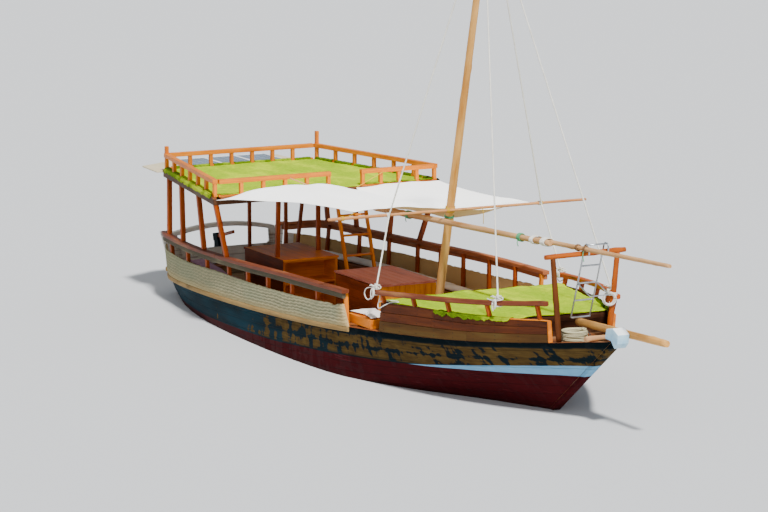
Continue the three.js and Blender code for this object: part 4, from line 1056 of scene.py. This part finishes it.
awning = closed_sheet("awning_canvas", [(top, bottom)], [glowing_canvas_top, canvas_under_painted_light],
                      open_at=lambda i, j: j == slit_column and i < slit_rows)
fit(awning, "awning_cloth")


# Stays: laid white rope of three strands, taut from the mast's head to the bow rails. Two of them
# bend over the awning pole. Each ends in a hitch round the rail.
def mottled(name, pale, shade, fine, coarse, shares, depth, roughness):
    """Rope or cloth: a fine noise that is also its relief, and a coarse one for dirt or folds."""
    finish = Finish(name)
    fuzz = finish.noise(fine, 2)
    colour = finish.mix(shade, pale, fuzz * shares[0] + finish.noise(coarse, 3) * shares[1] - shares[2])
    return finish.wear(colour, fuzz, depth, Roughness=roughness)


white_rope, yellow_rope, green_rope, brown_rope, worn_rope = (
    mottled(name, pale, shade, 160, 5, (0.8, 0.8, 0.2), 0.001, 0.85) for name, pale, shade in (
        ("white_rope", "f4f2ea", "b9b3a3"), ("yellow_rope", "e3b62e", "a87c18"),
        ("green_rope", "5fb07a", "2f6f48"), ("brown_rope", "8a6238", "4a2e16"),
        ("worn_rope", "d3c7a4", "7f8054")))


def through(points, step):
    """Points every step or so along a smooth line through the given ones."""
    points = [Vector(p) for p in points]
    line = []
    for i, (a, b) in enumerate(zip(points, points[1:])):
        count = max(int((b - a).length / step), 1)
        line += [spline(points, i + k / count) for k in range(count)]
    return line + [points[-1]]


def circle(count):
    """The angles of a whole turn in that many steps."""
    return [2 * math.pi * k / count for k in range(count + 1)]


def cordage(joinery, points, step, thick, finish=0):
    joinery.tube(through(points, step), thick, 7, finish)


def taut_rope(joinery, a, b, radius):
    """Three laid strands: the round section has three lobes that turn on the way along."""
    count, turns_per_metre = int((b - a).length / 0.018), 13
    step = (b - a).length / (count + 1)
    joinery.tube([a.lerp(b, i / count) for i in range(count + 1)], radius, 9, shape=lambda i, turn: (
        0.84 + 0.16 * abs(math.cos(1.5 * (turn - 2 * math.pi * turns_per_metre * step * i / 3)))))


def lashing(joinery, middle, way, reach, turns, thick, finish=0, flat=1.0):
    """Turns of rope drawn tight round a pole, side by side."""
    way = Vector(way).normalized()
    across = up.cross(way).normalized()
    rise = way.cross(across) * flat
    count, path = turns * 20, []
    for i in range(count + 1):
        turn, along = math.pi * i / 10, (i / count - 0.5) * turns * thick * 2.05
        out = across * math.cos(turn) + rise * math.sin(turn)
        path.append(Vector(middle) + way * along + out * (reach + thick))
    joinery.tube(path, thick, 6, finish)


def knot(joinery, middle, size, thick):
    """A hitch drawn up into a fist of loops."""
    for k in range(5):
        spin = k * 2.4
        at = Vector(middle) + Vector((math.cos(spin), math.sin(spin), k - 2)) * size * 0.6
        loop = (Vector((math.cos(t), math.sin(t), 0.35 * math.sin(t + spin))) for t in circle(12))
        joinery.tube([at + p * size for p in loop], thick, 6)


def wound(middle, half_wide, half_high, turns, pitch):
    """The way of turns of rope round a squared rail that runs fore and aft."""
    path = []
    for i in range(turns * 16 + 1):
        c, s = math.cos(math.pi * i / 8), math.sin(math.pi * i / 8)
        corner = max(abs(c), abs(s))
        along = (i / 16 - turns / 2) * pitch
        path.append(middle + Vector((along, c / corner * half_wide, s / corner * half_high)))
    return path


def mast_at(z):
    return mast_foot + mast_way * ((z - mast_foot.z) / mast_way.z)


stay_radius, hitch_thick, stay_top_z, stay_aside, hitch_gap = 0.0135, 0.0085, 7.45, 0.066, 0.006
spar_front, spar_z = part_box("awning_pole")[1].x + 0.019, 2.62
bight_shape = ((0, 0, 0.3), (0.8, -1, 1), (2, 0, 0.3), (0.9, 1, 0.6), (0, 0, 1))
bights = ((-0.5, 0.2, 0.06, 0.035), (0.4, 0.15, 0.05, 0.05), (-0.3, 0.11, 0.08, 0.06))
rigging = Joinery(17)
for side_name, side in sides:
    inner, outer, top = top_of(f"rail_bow_{side_name}")
    for foot_x, bend_y in ((2.93, 1.6 if side > 0 else -1.18), (5.54, None)):
        half = (outer(foot_x) - inner(foot_x)) / 2
        middle = side * (inner(foot_x) + outer(foot_x)) / 2
        foot = Vector((foot_x, middle, top(foot_x) + 0.018))
        bend = [Vector((spar_front, bend_y, spar_z))] if bend_y else []
        stops = [mast_at(stay_top_z) + Vector((0, side * stay_aside, 0)), *bend, foot]
        for a, b in zip(stops, stops[1:]):
            taut_rope(rigging, a, b, stay_radius)
        hitch = Vector((foot_x, middle, top(foot_x) - bar_depth / 2))
        hitched = wound(hitch, half + hitch_gap, bar_depth / 2 + hitch_gap, 4, 0.02)
        cordage(rigging, hitched, 0.02, hitch_thick)
        for lean, long, wide, high in bights:
            bight = [foot + Vector((lean * long * x, wide * y, high * z)) for x, y, z in bight_shape]
            cordage(rigging, bight, 0.015, hitch_thick * 0.9)
        out = side * (half + 0.02)
        for long, low_by in ((-0.05, 0.17), (0.05, 0.13), (-0.26, 0.2) if bend_y else (-0.2, 0.02)):
            hanging = ((0.01, out * 0.4, 0.01), (long * 0.7, out, -0.02),
                       (long, out * 1.1, -low_by * 0.6), (long * 0.6, out * 1.05, -low_by),
                       (0.02, out * 1.05, -low_by * 0.5), (0, out * 0.5, 0.005))
            cordage(rigging, [foot + Vector(step) for step in hanging], 0.015, hitch_thick)
        knot(rigging, foot + up * 0.035, 0.018, 0.0075)
lashing(rigging, mast_at(stay_top_z), mast_way, 0.052, 8, 0.009)
rigging.build("stays_and_hitches", [white_rope], "standing_rigging")


# Lashings: white line at the yard's splice, green line where it is held down, yellow line at the
# awning's pole and corners, a hank on the gallows' post and a loose loop at the bulwark's end. Those
# round the yard go with it.
yard_ties = Joinery(18)
splice_y = 0.038
for along, aside, reach, turns, thick, finish in (
        (2.92, splice_y, 0.092, 6, 0.008, 0), (3.24, splice_y, 0.086, 7, 0.009, 0),
        (2.53, 0.0, 0.049, 5, 0.009, 1), (-1.08, 0.0, 0.052, 5, 0.009, 1),
        (4.08, 0.072, 0.037, 3, 0.008, 2), (4.30, 0.071, 0.036, 3, 0.008, 2)):
    lashing(yard_ties, on_yard(along, aside), on_yard(1) - on_yard(0), reach, turns, thick, finish,
            0.62 if aside == splice_y else 1.0)
for along, drop in ((-1.08, 0.09), (2.53, 0.11), (4.30, 0.16)):
    start = on_yard(along, -0.055 if along < 3 else 0.03, -0.02)
    tail = [start, start + Vector((0.015, -0.02, -drop * 0.5)), start + Vector((0.03, -0.01, -drop))]
    cordage(yard_ties, tail, 0.02, 0.007, 1)
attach(yard_ties.build("yard_lashings", [white_rope, green_rope, brown_rope]), "yard")

ties = Joinery(18)
for z, turns, thick, finish in ((2.62, 6, 0.007, 1), (2.43, 5, 0.006, 1), (2.50, 3, 0.006, 2)):
    mast_reach = mast_thick - (z - mast_foot.z) / mast_way.z / mast_length * (mast_thick - mast_thin)
    lashing(ties, mast_at(z), mast_way, mast_reach + 0.002, turns, thick, finish)
pole_x, tie_thick, middle_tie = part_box("awning_pole")[1].x - 0.026, 0.006, cloth_rows[-1][3]
for a, y, above, sag in (
        (cloth_rows[-1][0], -1.98, 0.03, 0.03), (cloth_rows[-1][-1], 1.62, 0.03, 0.0),
        (middle_tie, middle_tie.y + 0.05, 0.028, 0.0)):
    b = Vector((pole_x, y, spar_z + above))
    cordage(ties, [a, (a + b) / 2 - up * sag, b], 0.03, tie_thick, 1)
a, b = cloth_rows[0][4], Vector((-2.03, 1.05, 2.62))
cordage(ties, [a, (a + b) / 2, b], 0.03, tie_thick, 1)
for y, finish in ((-1.98, 1), (1.62, 1), (middle_tie.y + 0.05, 1), (-1.18, 0), (1.6, 0)):
    lashing(ties, (pole_x, y, spar_z), (0, 1, 0), 0.026, 4, tie_thick, finish)
tail_top = Vector((pole_x + 0.03, 0.52, spar_z))
tail = [tail_top, tail_top + Vector((0.01, 0.01, -0.12)), tail_top + Vector((-0.01, 0.02, -0.26))]
cordage(ties, tail, 0.03, tie_thick, 1)
hank, hank_way = Vector((6.415, 0.41, 1.803)), Vector((0.4648, 0.8854, 0))
lashing(ties, (6.385, 0.497, 1.87), (0.007, 0.0985, 1), 0.046, 3, 0.008)
for k in range(5):
    reach = 0.078 + 0.013 * (k % 3)
    ties.tube([hank + hank_way * reach * math.cos(t) + Vector((0.010 * (k - 2), 0, reach * math.sin(t)))
               for t in circle(24)], 0.007, 7)
end_half, end_z = starboard_bow(3.12, 1)
loose_loop = ((-0.14, 0, 0.16), (-0.10, -0.04, 0.04), (-0.13, -0.05, -0.05), (-0.06, -0.07, -0.09),
              (0.06, -0.045, -0.03), (0.15, 0.02, 0.024), (0.22, 0.12, 0.034), (0.15, 0.14, 0.037),
              (0.04, 0.05, 0.033), (-0.05, -0.02, 0.02), (-0.11, -0.04, 0))
cordage(ties, [Vector((3.12 + x, 0.03 - end_half + y, end_z + z)) for x, y, z in loose_loop], 0.02, 0.009)
ties.tube([(-2.034, -0.75, 2.625), (-2.032, -0.5, 2.52), (-2.03, -0.25, 2.415)], 0.011, 8, 3)
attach(ties.build("lashings", [white_rope, yellow_rope, green_rope, spar_wood]), "boat")


# Upper deck: a ring of dark fascia boards with beams across it, on varnished posts that lean out
# from the rails, decked with boards under bright turf.
fascia_wood = timber("fascia_board", "63412a", "2e1c12", 0.6, "5c5240", 0.4)
deck_boards = timber("deck_board", "8a5530", "5a341c", 0.6, "6f5a3e", 0.3)
fascia_low, board_width, board_gap, board_thick, shortest = 2.24, 0.142, 0.003, 0.03, 0.3
eased("roof_frame", "roof_frame_and_posts", [fascia_wood, post_wood], 0.007,
      lambda centre, normal: int(centre.z <= fascia_low))


def tapered(node):
    """A deck's box, and its half breadth at its after end, where it is narrower."""
    low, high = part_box(node)
    return low, high, max(abs(v.co.y) for v in frame["nodes"][node].data.vertices if v.co.x < low.x + 0.01)


roof_low, roof_high, roof_aft = tapered("roof_deck")
roof_fore, board_z = roof_high.y, roof_low.z + board_thick / 2
roof_boards = Joinery(19)
for i in range(round(2 * roof_fore / board_width)):
    y = -roof_fore + board_width * (i + 0.5)
    past = max(0, abs(y) + board_width / 2 - roof_aft)
    start = roof_low.x + past / (roof_fore - roof_aft) * (roof_high.x - roof_low.x)
    if roof_high.x - start > shortest:
        ends = (start, y, board_z), (roof_high.x, y, board_z)
        roof_boards.board(*ends, board_width - board_gap, board_thick, ease=0.003)
inset = 0.06
for side in (-1, 1):
    a = (roof_low.x, side * (roof_aft - inset / 2), board_z)
    roof_boards.board(a, (roof_high.x, side * (roof_fore - inset / 2), board_z), inset, 0.0296, ease=0.003)
roof_boards.build("roof_boards", [deck_boards], "roof_deck")
turf_low, turf_high, turf_aft = tapered("roof_turf")


def widened(x, aft, fore):
    return aft + (fore - aft) * (x - turf_low.x) / (turf_high.x - turf_low.x)


turf("roof_turf_mat", "roof_turf", lambda x: widened(x, turf_aft, turf_high.y),
     lambda x, y: turf_low.z, 0.015, 0.02)


# The upper deck's rails: a squared bar on short balusters over a foot rail, with a corner post that
# rises past the bar on each quarter, and an opening at the ladder. Turf is folded over the foot
# rail between the balusters, and its hem hangs over the fascia. It is the darker turf, as painted shade.
rail_wood = timber("rail_varnish", "f08a14", "aa5008", 0.42, "a8642c", 0.2)
for run in ("starboard", "port", "stern", "front_starboard", "front_port"):
    eased(f"roof_rail_{run}", f"deck_rail_{run}", [rail_wood], 0.006)
rail_in, baluster_half, end_gap, opening = 0.058, 0.042, 0.114, (0.05, 0.64)
rail_aft, rail_fore, deck_z = roof_low.x + rail_in, roof_high.x - rail_in, roof_high.z
aft_half, fore_half = (widened(x, roof_aft, roof_fore) for x in (rail_aft, rail_fore))
over_foot = ((-0.036, 0.006), (-0.036, 0.032), (-0.028, 0.0455), (0.028, 0.0455), (0.041, 0.037))
down_outside = ((0.0425, 0.034), (0.053, 0.022), (0.064, 0.010), (0.068, -0.006))
side_shares, stern_shares = [0.0122 + 0.9756 * k / 6 for k in range(7)], [k / 7 for k in range(8)]
front_shares = [0] + [0.2 + 0.783 * k / 4 for k in range(5)]
port_shares = [0.025 + 0.745 * k / 3 for k in range(4)] + [1]
aft_end, fore_end = aft_half - end_gap, fore_half - end_gap
runs = [((rail_aft, side * (aft_half - rail_in)), (rail_fore, side * (fore_half - rail_in)),
         (0, side), side_shares) for side in (-1, 1)]
runs += [((rail_aft, -aft_end), (rail_aft, aft_end), (-1, 0), stern_shares),
         ((rail_fore, -fore_end), (rail_fore, opening[0]), (1, 0), front_shares),
         ((rail_fore, opening[1]), (rail_fore, fore_end), (1, 0), port_shares)]
over_rails = []
for a, b, out, shares in runs:
    a, b, out = (Vector((*place, 0)) for place in (a, b, out))
    gap = baluster_half / (b - a).length
    pieces = [(near + gap, far - gap, over_foot) for near, far in zip(shares, shares[1:])]
    if out.x < 0.5:
        pieces.append((0.004, 0.996, down_outside))
    for near, far, offsets in pieces:
        start, stop = a.lerp(b, near), a.lerp(b, far)

        def profile(share):
            p = start.lerp(stop, share)
            line = [p + out * d + up * (deck_z + h) for d, h in offsets]
            if offsets == down_outside and abs(out.y) > 0.5:
                line.append(p + out * 0.074 + up * (deck_z - hem(p, share, 0.03, 0.03)))
            return line

        over_rails.append(laid_over((stop - start).length, profile))
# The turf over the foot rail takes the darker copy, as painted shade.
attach(closed_sheet("deck_edge_turf", over_rails, [turf_painted_shade, turf_backing], 1), "boat")


# A cream board is carried out aft of the upper deck on two bearers, with three solar panels on it:
# dark blue cells under glass in white frames, with paler streaks on the glass that are painted
# reflections.
cream_board = timber("cream_board", "e6dcc0", "c2b08a", 0.65, "c9a67a", 0.5)
eased("stern_shelf", "stern_board", [cream_board], 0.005)
glass = Finish("solar_cells", Roughness=0.12, Coat_Weight=0.6)
# Paler streaks over the cells are painted glints off the glass.
cells_with_painted_glints = glass.wear(glass.mix("29425c", "5b7f9e", glass.noise((3, 1.2, 1), 2) * 1.6 - 0.3))
paint = Finish("white_frame", Roughness=0.4)
white_frame = paint.wear(paint.mix("d4d7d8", "f4f4f2", paint.noise(9, 3)))
seams = Finish("cell_seam", Base_Color="c3ccd2", Roughness=0.3, Metallic=0.6).material
low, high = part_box("solar_panels")
panel_count, frame_width, frame_depth, cell, seam_wide, seam_thick = 3, 0.022, 0.034, 0.156, 0.004, 0.002
panel_width, frame_z, glass_z = (high.y - low.y) / panel_count, low.z + frame_depth / 2, low.z + 0.026
seam_z, x0, x1 = glass_z + 0.003, low.x + frame_width, high.x - frame_width
panels = Joinery(21)
for i in range(panel_count):
    starboard, port = low.y + panel_width * i + 0.002, low.y + panel_width * (i + 1) - 0.002
    y0, y1 = starboard + frame_width, port - frame_width
    middle = (y0 + y1) / 2
    for y in (starboard + frame_width / 2, port - frame_width / 2):
        panels.board((low.x, y, frame_z), (high.x, y, frame_z), frame_width, frame_depth, ease=0.003)
    for x in (low.x + frame_width / 2, high.x - frame_width / 2):
        panels.board((x, y0, frame_z), (x, y1, frame_z), frame_width, frame_depth, ease=0.003)
    panels.board((x0, middle, glass_z), (x1, middle, glass_z), y1 - y0, 0.006, ease=0.001, finish=1)
    across = [x0 + k * cell for k in range(1, int((x1 - x0) / cell))]
    along = [y0 + k * cell for k in range(1, int((y1 - y0) / cell) + 1)]
    for a, b in [((x, y0), (x, y1)) for x in across] + [((x0, y), (x1, y)) for y in along]:
        panels.board((*a, seam_z), (*b, seam_z), seam_wide, seam_thick, ease=0.0005, finish=2)
panels.build("solar_panel_set", [white_frame, cells_with_painted_glints, seams], "solar_panels")


# Ladder from the cockpit to the upper deck: two stringers with the treads let into them, all in
# orange varnish, leaned against the deck's front beam.
ladder_wood = timber("ladder_varnish", "f6940e", "bc5c06", 0.42, "a8641c", 0.15)
eased("roof_ladder", "deck_ladder", [ladder_wood], 0.005)


# Counter: a varnished cupboard of boards with two open shelves that face forward, and a thicker
# top. Its top, its faces turned forward and its shelves are orange, and the rest is dark. The orange
# on the top and forward faces is partly painted sunlight, and the dark sides are partly painted shade.
counter_dark = timber("counter_dark", "74300f", "3c1607", 0.5, "5c3018", 0.25, plank=0.19)
counter_top, shelves_from, shelf_sides = 1.2, -2.32, (-0.94, 0.04)


def counter_wood_and_painted_sun(centre, normal):
    # The top and every face turned forward take the orange: partly painted sunlight from the bow.
    if normal.z > 0.9 and centre.z > counter_top or normal.x > 0.5:
        return 1
    between_sides = shelf_sides[0] < centre.y < shelf_sides[1]
    in_shelves = between_sides and centre.x > shelves_from and centre.z < counter_top
    return int(in_shelves and abs(normal.z) + abs(normal.y) > 0.5)


eased("galley_counter", "counter", [counter_dark, orange_wood], 0.005, counter_wood_and_painted_sun)


# Engine box, used as the table: upright tongued boards on the ends, long boards on the sides, a lid
# of dark red boards with battens. The ends are bright orange and the sides darker: partly painted
# sunlight on the ends and painted shade on the sides. The engine in it is a grey block with a
# rounded cover.
low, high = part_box("engine_box")
lid_low, lid_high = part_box("engine_box_lid")
wall, board_wide, side_rows, lid_boards, between = 0.028, 0.098, 6, 8, 0.002
box_boards = Joinery(22)
count = round((high.y - low.y) / board_wide)
pitch = (high.y - low.y) / count
for x in (high.x - wall / 2, low.x + wall / 2):
    for y in (low.y + pitch * (i + 0.5) for i in range(count)):
        box_boards.board((x, y, low.z), (x, y, high.z - 0.001), pitch - between, wall, (1, 0, 0), ease=0.004)
pitch = (high.z - low.z) / side_rows
for y in (low.y + wall / 2, high.y - wall / 2):
    for z in (low.z + pitch * (i + 0.5) for i in range(side_rows)):
        a, b = (low.x + wall, y, z), (high.x - wall, y, z)
        box_boards.board(a, b, wall, pitch - between, ease=0.004, finish=1)
# Bright orange for the ends, partly painted sunlight. The sides take the darker post wood, partly painted
# shade.
orange_box_wood_and_painted_sun = timber("box_board", "f4a428", "b0560c", 0.45, "c87a1c", 0.3)
box_boards.build("engine_box_boards", [orange_box_wood_and_painted_sun, post_wood], "engine_box")
lid = Joinery(23)
pitch, lid_thick, batten_z = (lid_high.y - lid_low.y) / lid_boards, 0.025, lid_low.z + 0.0075
for y in (lid_low.y + pitch * (i + 0.5) for i in range(lid_boards)):
    z = lid_high.z - lid_thick / 2
    lid.board((lid_low.x, y, z), (lid_high.x, y, z), pitch - between, lid_thick, ease=0.004)
for x in (lid_low.x + 0.055, (lid_low.x + lid_high.x) / 2, lid_high.x - 0.055):
    lid.board((x, lid_low.y + 0.02, batten_z), (x, lid_high.y - 0.02, batten_z), 0.09, 0.0148, ease=0.003)
lid_wood = timber("lid_wood", "e69480", "b0604c", 0.4, "c88c80", 0.3)
lid.build("engine_lid_boards", [lid_wood], "engine_box_lid")
enamel = Finish("engine_enamel")
oil = enamel.noise(6, 4)
enamel.wear(enamel.mix("5c6a73", "2a2f33", oil.rise(0.5, 0.75)), oil, 0.002, Roughness=0.35 + oil * 0.3)
eased("engine_block", "engine_cover", [enamel.material], 0.02, soft=True)


# Benches: long lockers of upright boards down both sides of the cockpit, fixed to the sole, and a
# box of orange boards as the step at the entry.
bench_wood = timber("bench_boards", "b06a36", "73401f", 0.5, "7d6040", 0.3, plank=0.16)
for side_name, side in sides:
    eased(f"bench_{side_name}", f"bench_locker_{side_name}", [bench_wood])
eased("entry_step", "entry_step_box", [orange_wood])


# Cushions: foam in a sewn cotton cover, one beside the next along each bench, and a pale pad on the
# entry step. One cushion is blown up as cloth and then laid along the bench's own line.
pale_cover, mauve_cover = (
    mottled(name, pale, shade, 260, 3.5, (0.4, 1.2, 0.3), 0.0008, 0.9) for name, pale, shade in (
        ("pale_cover", "fdf8f0", "dcd6ce"), ("mauve_cover", "c79ab0", "8d5f7d")))
cushion_long, cushion_wide, cushion_thick, cushion_grid, rounding = 1.0, 0.4, 0.078, 0.02, 0.05
nx, ny = int(cushion_long / cushion_grid), int(cushion_wide / cushion_grid)


def flat_cushion():
    """A thin closed pillow case with rounded edges, ready to be blown up."""
    points, faces, index = [], [], {}
    for layer, sign in ((0, -1), (1, 1)):
        for i in range(nx + 1):
            for j in range(ny + 1):
                near = min(i, nx - i, j, ny - j)
                if near or not layer:
                    index[layer, i, j] = len(points)
                    swell = math.sqrt(min(1.0, near * cushion_grid / rounding))
                    points.append((cushion_long * (i / nx - 0.5), cushion_wide * (j / ny - 0.5),
                                   sign * cushion_thick * 0.30 * swell))
                else:
                    index[1, i, j] = index[0, i, j]
    for layer in (0, 1):
        for i in range(nx):
            for j in range(ny):
                quad = [index[layer, a, b] for a, b in ((i, j), (i + 1, j), (i + 1, j + 1), (i, j + 1))]
                faces.append(quad if layer else quad[::-1])
    return skin("cushion_case", points, faces)


case = stood("cushion_case", flat_cushion())
blown = case.modifiers.new("air", "CLOTH")
blown.settings.use_pressure = True
blown.settings.uniform_pressure_force = 4
blown.settings.effector_weights.gravity = 0
blown.settings.tension_stiffness = 30
blown.point_cache.frame_end = 20
for moment in range(1, 21):
    bpy.context.scene.frame_set(moment)
puffed = case.evaluated_get(bpy.context.evaluated_depsgraph_get()).to_mesh()
blown_points = np.array([v.co for v in puffed.vertices])
bpy.context.scene.frame_set(1)
cushion_faces = [tuple(f.vertices) for f in case.data.polygons]
bpy.data.objects.remove(case)
spread = blown_points.max(0) - blown_points.min(0)
blown_points = (blown_points - (blown_points.max(0) + blown_points.min(0)) / 2) / spread


def cushions(name, node, cover, size, laid):
    """Blown cushions of one size, joined. laid holds a seed for the dents of each and its place()."""
    points, faces = [], []
    for seed, place in laid:
        faces += [tuple(len(points) + i for i in face) for face in cushion_faces]
        for u, v, w in blown_points:
            dent = 0.06 * cloud(u * 2.2, v * 1.6, seed) * (w > 0)
            level = min(max(w + dent, -0.42), 0.5)
            points.append(place(u * size[0], v * size[1], (level + 0.42) / 0.92 * size[2]))
    mesh = skin(name, points, faces)
    mesh.polygons.foreach_set("use_smooth", [True] * len(faces))
    pad = fit(shown(name, mesh, [cover]), node)


cushion_count = 6
for side_name, side in sides:
    node = f"bench_pad_{side_name}"
    inner, outer, top = top_of(node)
    low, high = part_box(node)
    long = (high.x - low.x - 0.02) / cushion_count

    def bench_place(middle):
        def place(u, v, w):
            near, far = inner(middle + u), outer(middle + u)
            return middle + u, side * ((near + far) / 2 + v * (far - near - 0.006)), low.z + 0.001 + w

        return place

    laid = [(k + side * 9, bench_place(low.x + 0.01 + long * (k + 0.5))) for k in range(cushion_count)]
    cover, size = mauve_cover if side < 0 else pale_cover, (long - 0.012, 1.0, high.z - low.z - 0.002)
    cushions(f"bench_cushions_{side_name}", node, cover, size, laid)

low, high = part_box("entry_pad")
centre, size = (low + high) / 2, high - low - Vector((0.01, 0.01, 0.002))
cushions("entry_cushion", "entry_pad", pale_cover, size,
         [(3, lambda u, v, w: (centre.x + u, centre.y + v, low.z + 0.001 + w))])


# Swimming ladder: bent stainless tube with flat treads, stowed upright with its hooks over the
# gallows bar, and its folding hoop let down forward of it.
def metal(name, pale, dark, roughness, metallic, rust=None):
    finish = Finish(name, Metallic=metallic)
    smear, fine = finish.noise(9, 4), finish.noise(60, 3)
    colour = finish.mix(dark, pale, smear * 1.4 - 0.2)
    if rust:
        colour = finish.mix(colour, rust, (smear * 0.6 + fine * 0.4).rise(0.5, 0.62))
    return finish.wear(colour, fine, 0.001, Roughness=smear * 0.3 + (roughness - 0.12))


steel = metal("stainless", "d9dde0", "9aa1a6", 0.3, 0.85)
low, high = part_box("swim_ladder")
tube_radius, foot_x, foot_z = 0.013, 5.965, low.z + 0.011
left_y, right_y = low.y + tube_radius, high.y - tube_radius
top_x, top_z = gallows_x - 0.042 - tube_radius - 0.004, bar_z + 0.06
middle_x, middle_z = (foot_x + top_x) / 2, (foot_z + top_z) / 2
hook = ((top_x, top_z), (top_x + 0.012, top_z + 0.05), (top_x + 0.05, top_z + 0.074),
        (gallows_x + 0.05, top_z + 0.068), (gallows_x + 0.074, top_z + 0.04),
        (gallows_x + 0.074, bar_z - 0.02))
swim = Joinery(24)
for y in (left_y, right_y):
    stile = [(x, y, z) for x, z in ((foot_x, foot_z), (middle_x, middle_z)) + hook]
    swim.tube(through(stile, 0.03), tube_radius)
for share in (0, 0.25, 0.5, 0.75):
    x, z = foot_x + (top_x - foot_x) * share, foot_z + (top_z - foot_z) * share
    swim.board((x, left_y, z), (x, right_y, z), 0.044, 0.02, ease=0.004)
for out in (-0.01, 0.026):
    swim.tube([(gallows_x + out, y, top_z + 0.062) for y in (left_y, right_y)], 0.009, 10)
hoop_reach, hoop_drop, bend = 0.35, 0.14, 0.035
hoop = [(0.012, 0, -0.005), (hoop_reach - bend, 0, bend * 0.4 - hoop_drop),
        (hoop_reach - bend * 0.2, bend * 0.2, -hoop_drop), (hoop_reach, bend, -hoop_drop)]
hoop = [(middle_x + x, left_y + y, middle_z + z) for x, y, z in hoop]
hoop += [(x, left_y + right_y - y, z) for x, y, z in reversed(hoop)]
swim.tube(through(hoop, 0.03), 0.010, 10)
swim.build("swimming_ladder", [steel], "swim_ladder")


# Anchor: a forged grapnel of galvanised iron with a ring in its shank and four flukes that curve
# back to their palms. It lies on the foredeck, aft of the well.
iron = metal("galvanised_iron", "7d7b78", "45423f", 0.6, 0.6, rust="6b3a1f")
anchor_at = Matrix.Translation((5.8, 0.33, 1.239)) @ Matrix.Rotation(math.radians(140), 4, "Z")
fluke = ((0.185, 0.0), (0.175, 0.06), (0.145, 0.115), (0.10, 0.145), (0.052, 0.158))
anchor = Joinery(25)
shank = [anchor_at @ Vector((x, 0, 0)) for x in (-0.26, -0.2, -0.05, 0.1, 0.19)]
anchor.tube(shank, lambda share: 0.0125 + 0.002 * share)
for turn in (math.pi / 4 + i * math.pi / 2 for i in range(4)):

    def at(x, reach):
        return anchor_at @ Vector((x, math.cos(turn) * reach, math.sin(turn) * reach))

    anchor.tube(through([at(*place) for place in fluke], 0.015), lambda share: 0.0115 - 0.006 * share, 10)
    anchor.board(at(0.10, 0.137), at(0.056, 0.152), 0.042, 0.008, at(0, 1) - at(0, 0), ease=0.002)
ring = (Vector((-0.2355 + 0.022 * math.cos(t), 0, 0.022 * math.sin(t))) for t in circle(20))
anchor.tube([anchor_at @ p for p in ring], 0.0045, 8)
for k in range(3):
    hitch = (Vector((-0.25 - 0.011 * math.cos(t), 0.012 * (k - 1), 0.011 * math.sin(t))) for t in circle(12))
    anchor.tube([anchor_at @ p for p in hitch], 0.0055, 7, 1)
anchor.build("grapnel", [iron, worn_rope], "anchor")


# Anchor rope: laid rope, bent to the grapnel's ring and coiled down on the well's floor, turn beside
# turn and layer on layer, with a stopper knot in its end. All of its length is in the coil.
rope_thick, coil_layers, ring_count, coil_step = 0.02, 12, 5, 15
step_from, step_over, layer_turn = 240, 60, 1680
low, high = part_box("anchor_rope_coil")
coil, ring_out = (low + high) / 2, (high.x - low.x) / 2 - rope_thick / 2
coil.z = low.z + rope_thick / 2 + 0.0005


def on_coil(angle, reach, layers):
    turn = math.radians(angle)
    return coil + Vector((reach * math.cos(turn), reach * math.sin(turn), layers * rope_thick))


def ease_in(share):
    return share * share * (3 - 2 * share)


coil_edge = coil.y + ring_out
route = through([(5.9994, 0.1627, 1.239), (6.0262, 0.1402, 1.239), (6.075, 0.116, 1.213),
                 (6.11, 0.097, 1.172), (6.145, 0.084, 1.145), (6.18, coil_edge, coil.z),
                 (6.2118, coil_edge, coil.z), (coil.x - 0.03, coil_edge, coil.z)], 0.015)
turned = 90
for layer in range(coil_layers):
    radii = [ring_out - k * rope_thick for k in range(ring_count)]
    if layer % 2:
        radii.reverse()
    for a in range(0, layer_turn, coil_step):
        ring, into = divmod(a + 360 - step_from, 360)
        before, after = radii[max(ring - 1, 0)], radii[min(ring, ring_count - 1)]
        reach = before + (after - before) * ease_in(min(into / step_over, 1.0)) if ring else radii[0]
        climb = ease_in(max(0.0, (a - layer_turn + step_over) / step_over))
        route.append(on_coil(turned - a, reach, layer + climb))
    turned -= layer_turn
route += [on_coil(turned - 10 * k, ring_out - 0.010 * k, coil_layers) for k in range(1, 6)]
coiled = Joinery(26)
coiled.tube(route, rope_thick / 2, 8)
rope_length = sum((b - a).length for a, b in zip(route, route[1:]))
anchor_line = coiled.build("anchor_line", [worn_rope], "anchor_rope", "anchor_rope_coil")
stopper = Joinery(27)
knot_size = 0.011
trefoil = (Vector((math.sin(t) + 2 * math.sin(2 * t), math.cos(t) - 2 * math.cos(2 * t), 1 - math.sin(3 * t)))
           for t in circle(48))
stopper.tube([route[-1] + p * knot_size for p in trefoil], rope_thick / 2 * 0.95, 8)
stopper_knot = stopper.build("anchor_line_knot", [worn_rope])
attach(stopper_knot, "boat")
tuple(route[0])


# Screw and rudder: three cast blades on a boss and its shaft, and a plank rudder hung on pins, its
# long tiller reaching into the cabin over the transom.
bronze_cast = metal("bronze_cast", "b08d4a", "6d5529", 0.4, 0.8, rust="4f6b58")
eased("propeller", "screw", [bronze_cast], 0.003, soft=True)
head_from, head_ends = 0.85, -6.58
eased("rudder", "rudder_and_tiller", [hull_colours, post_wood], 0.007,
      lambda centre, normal: int(centre.z > head_from and centre.x > head_ends))
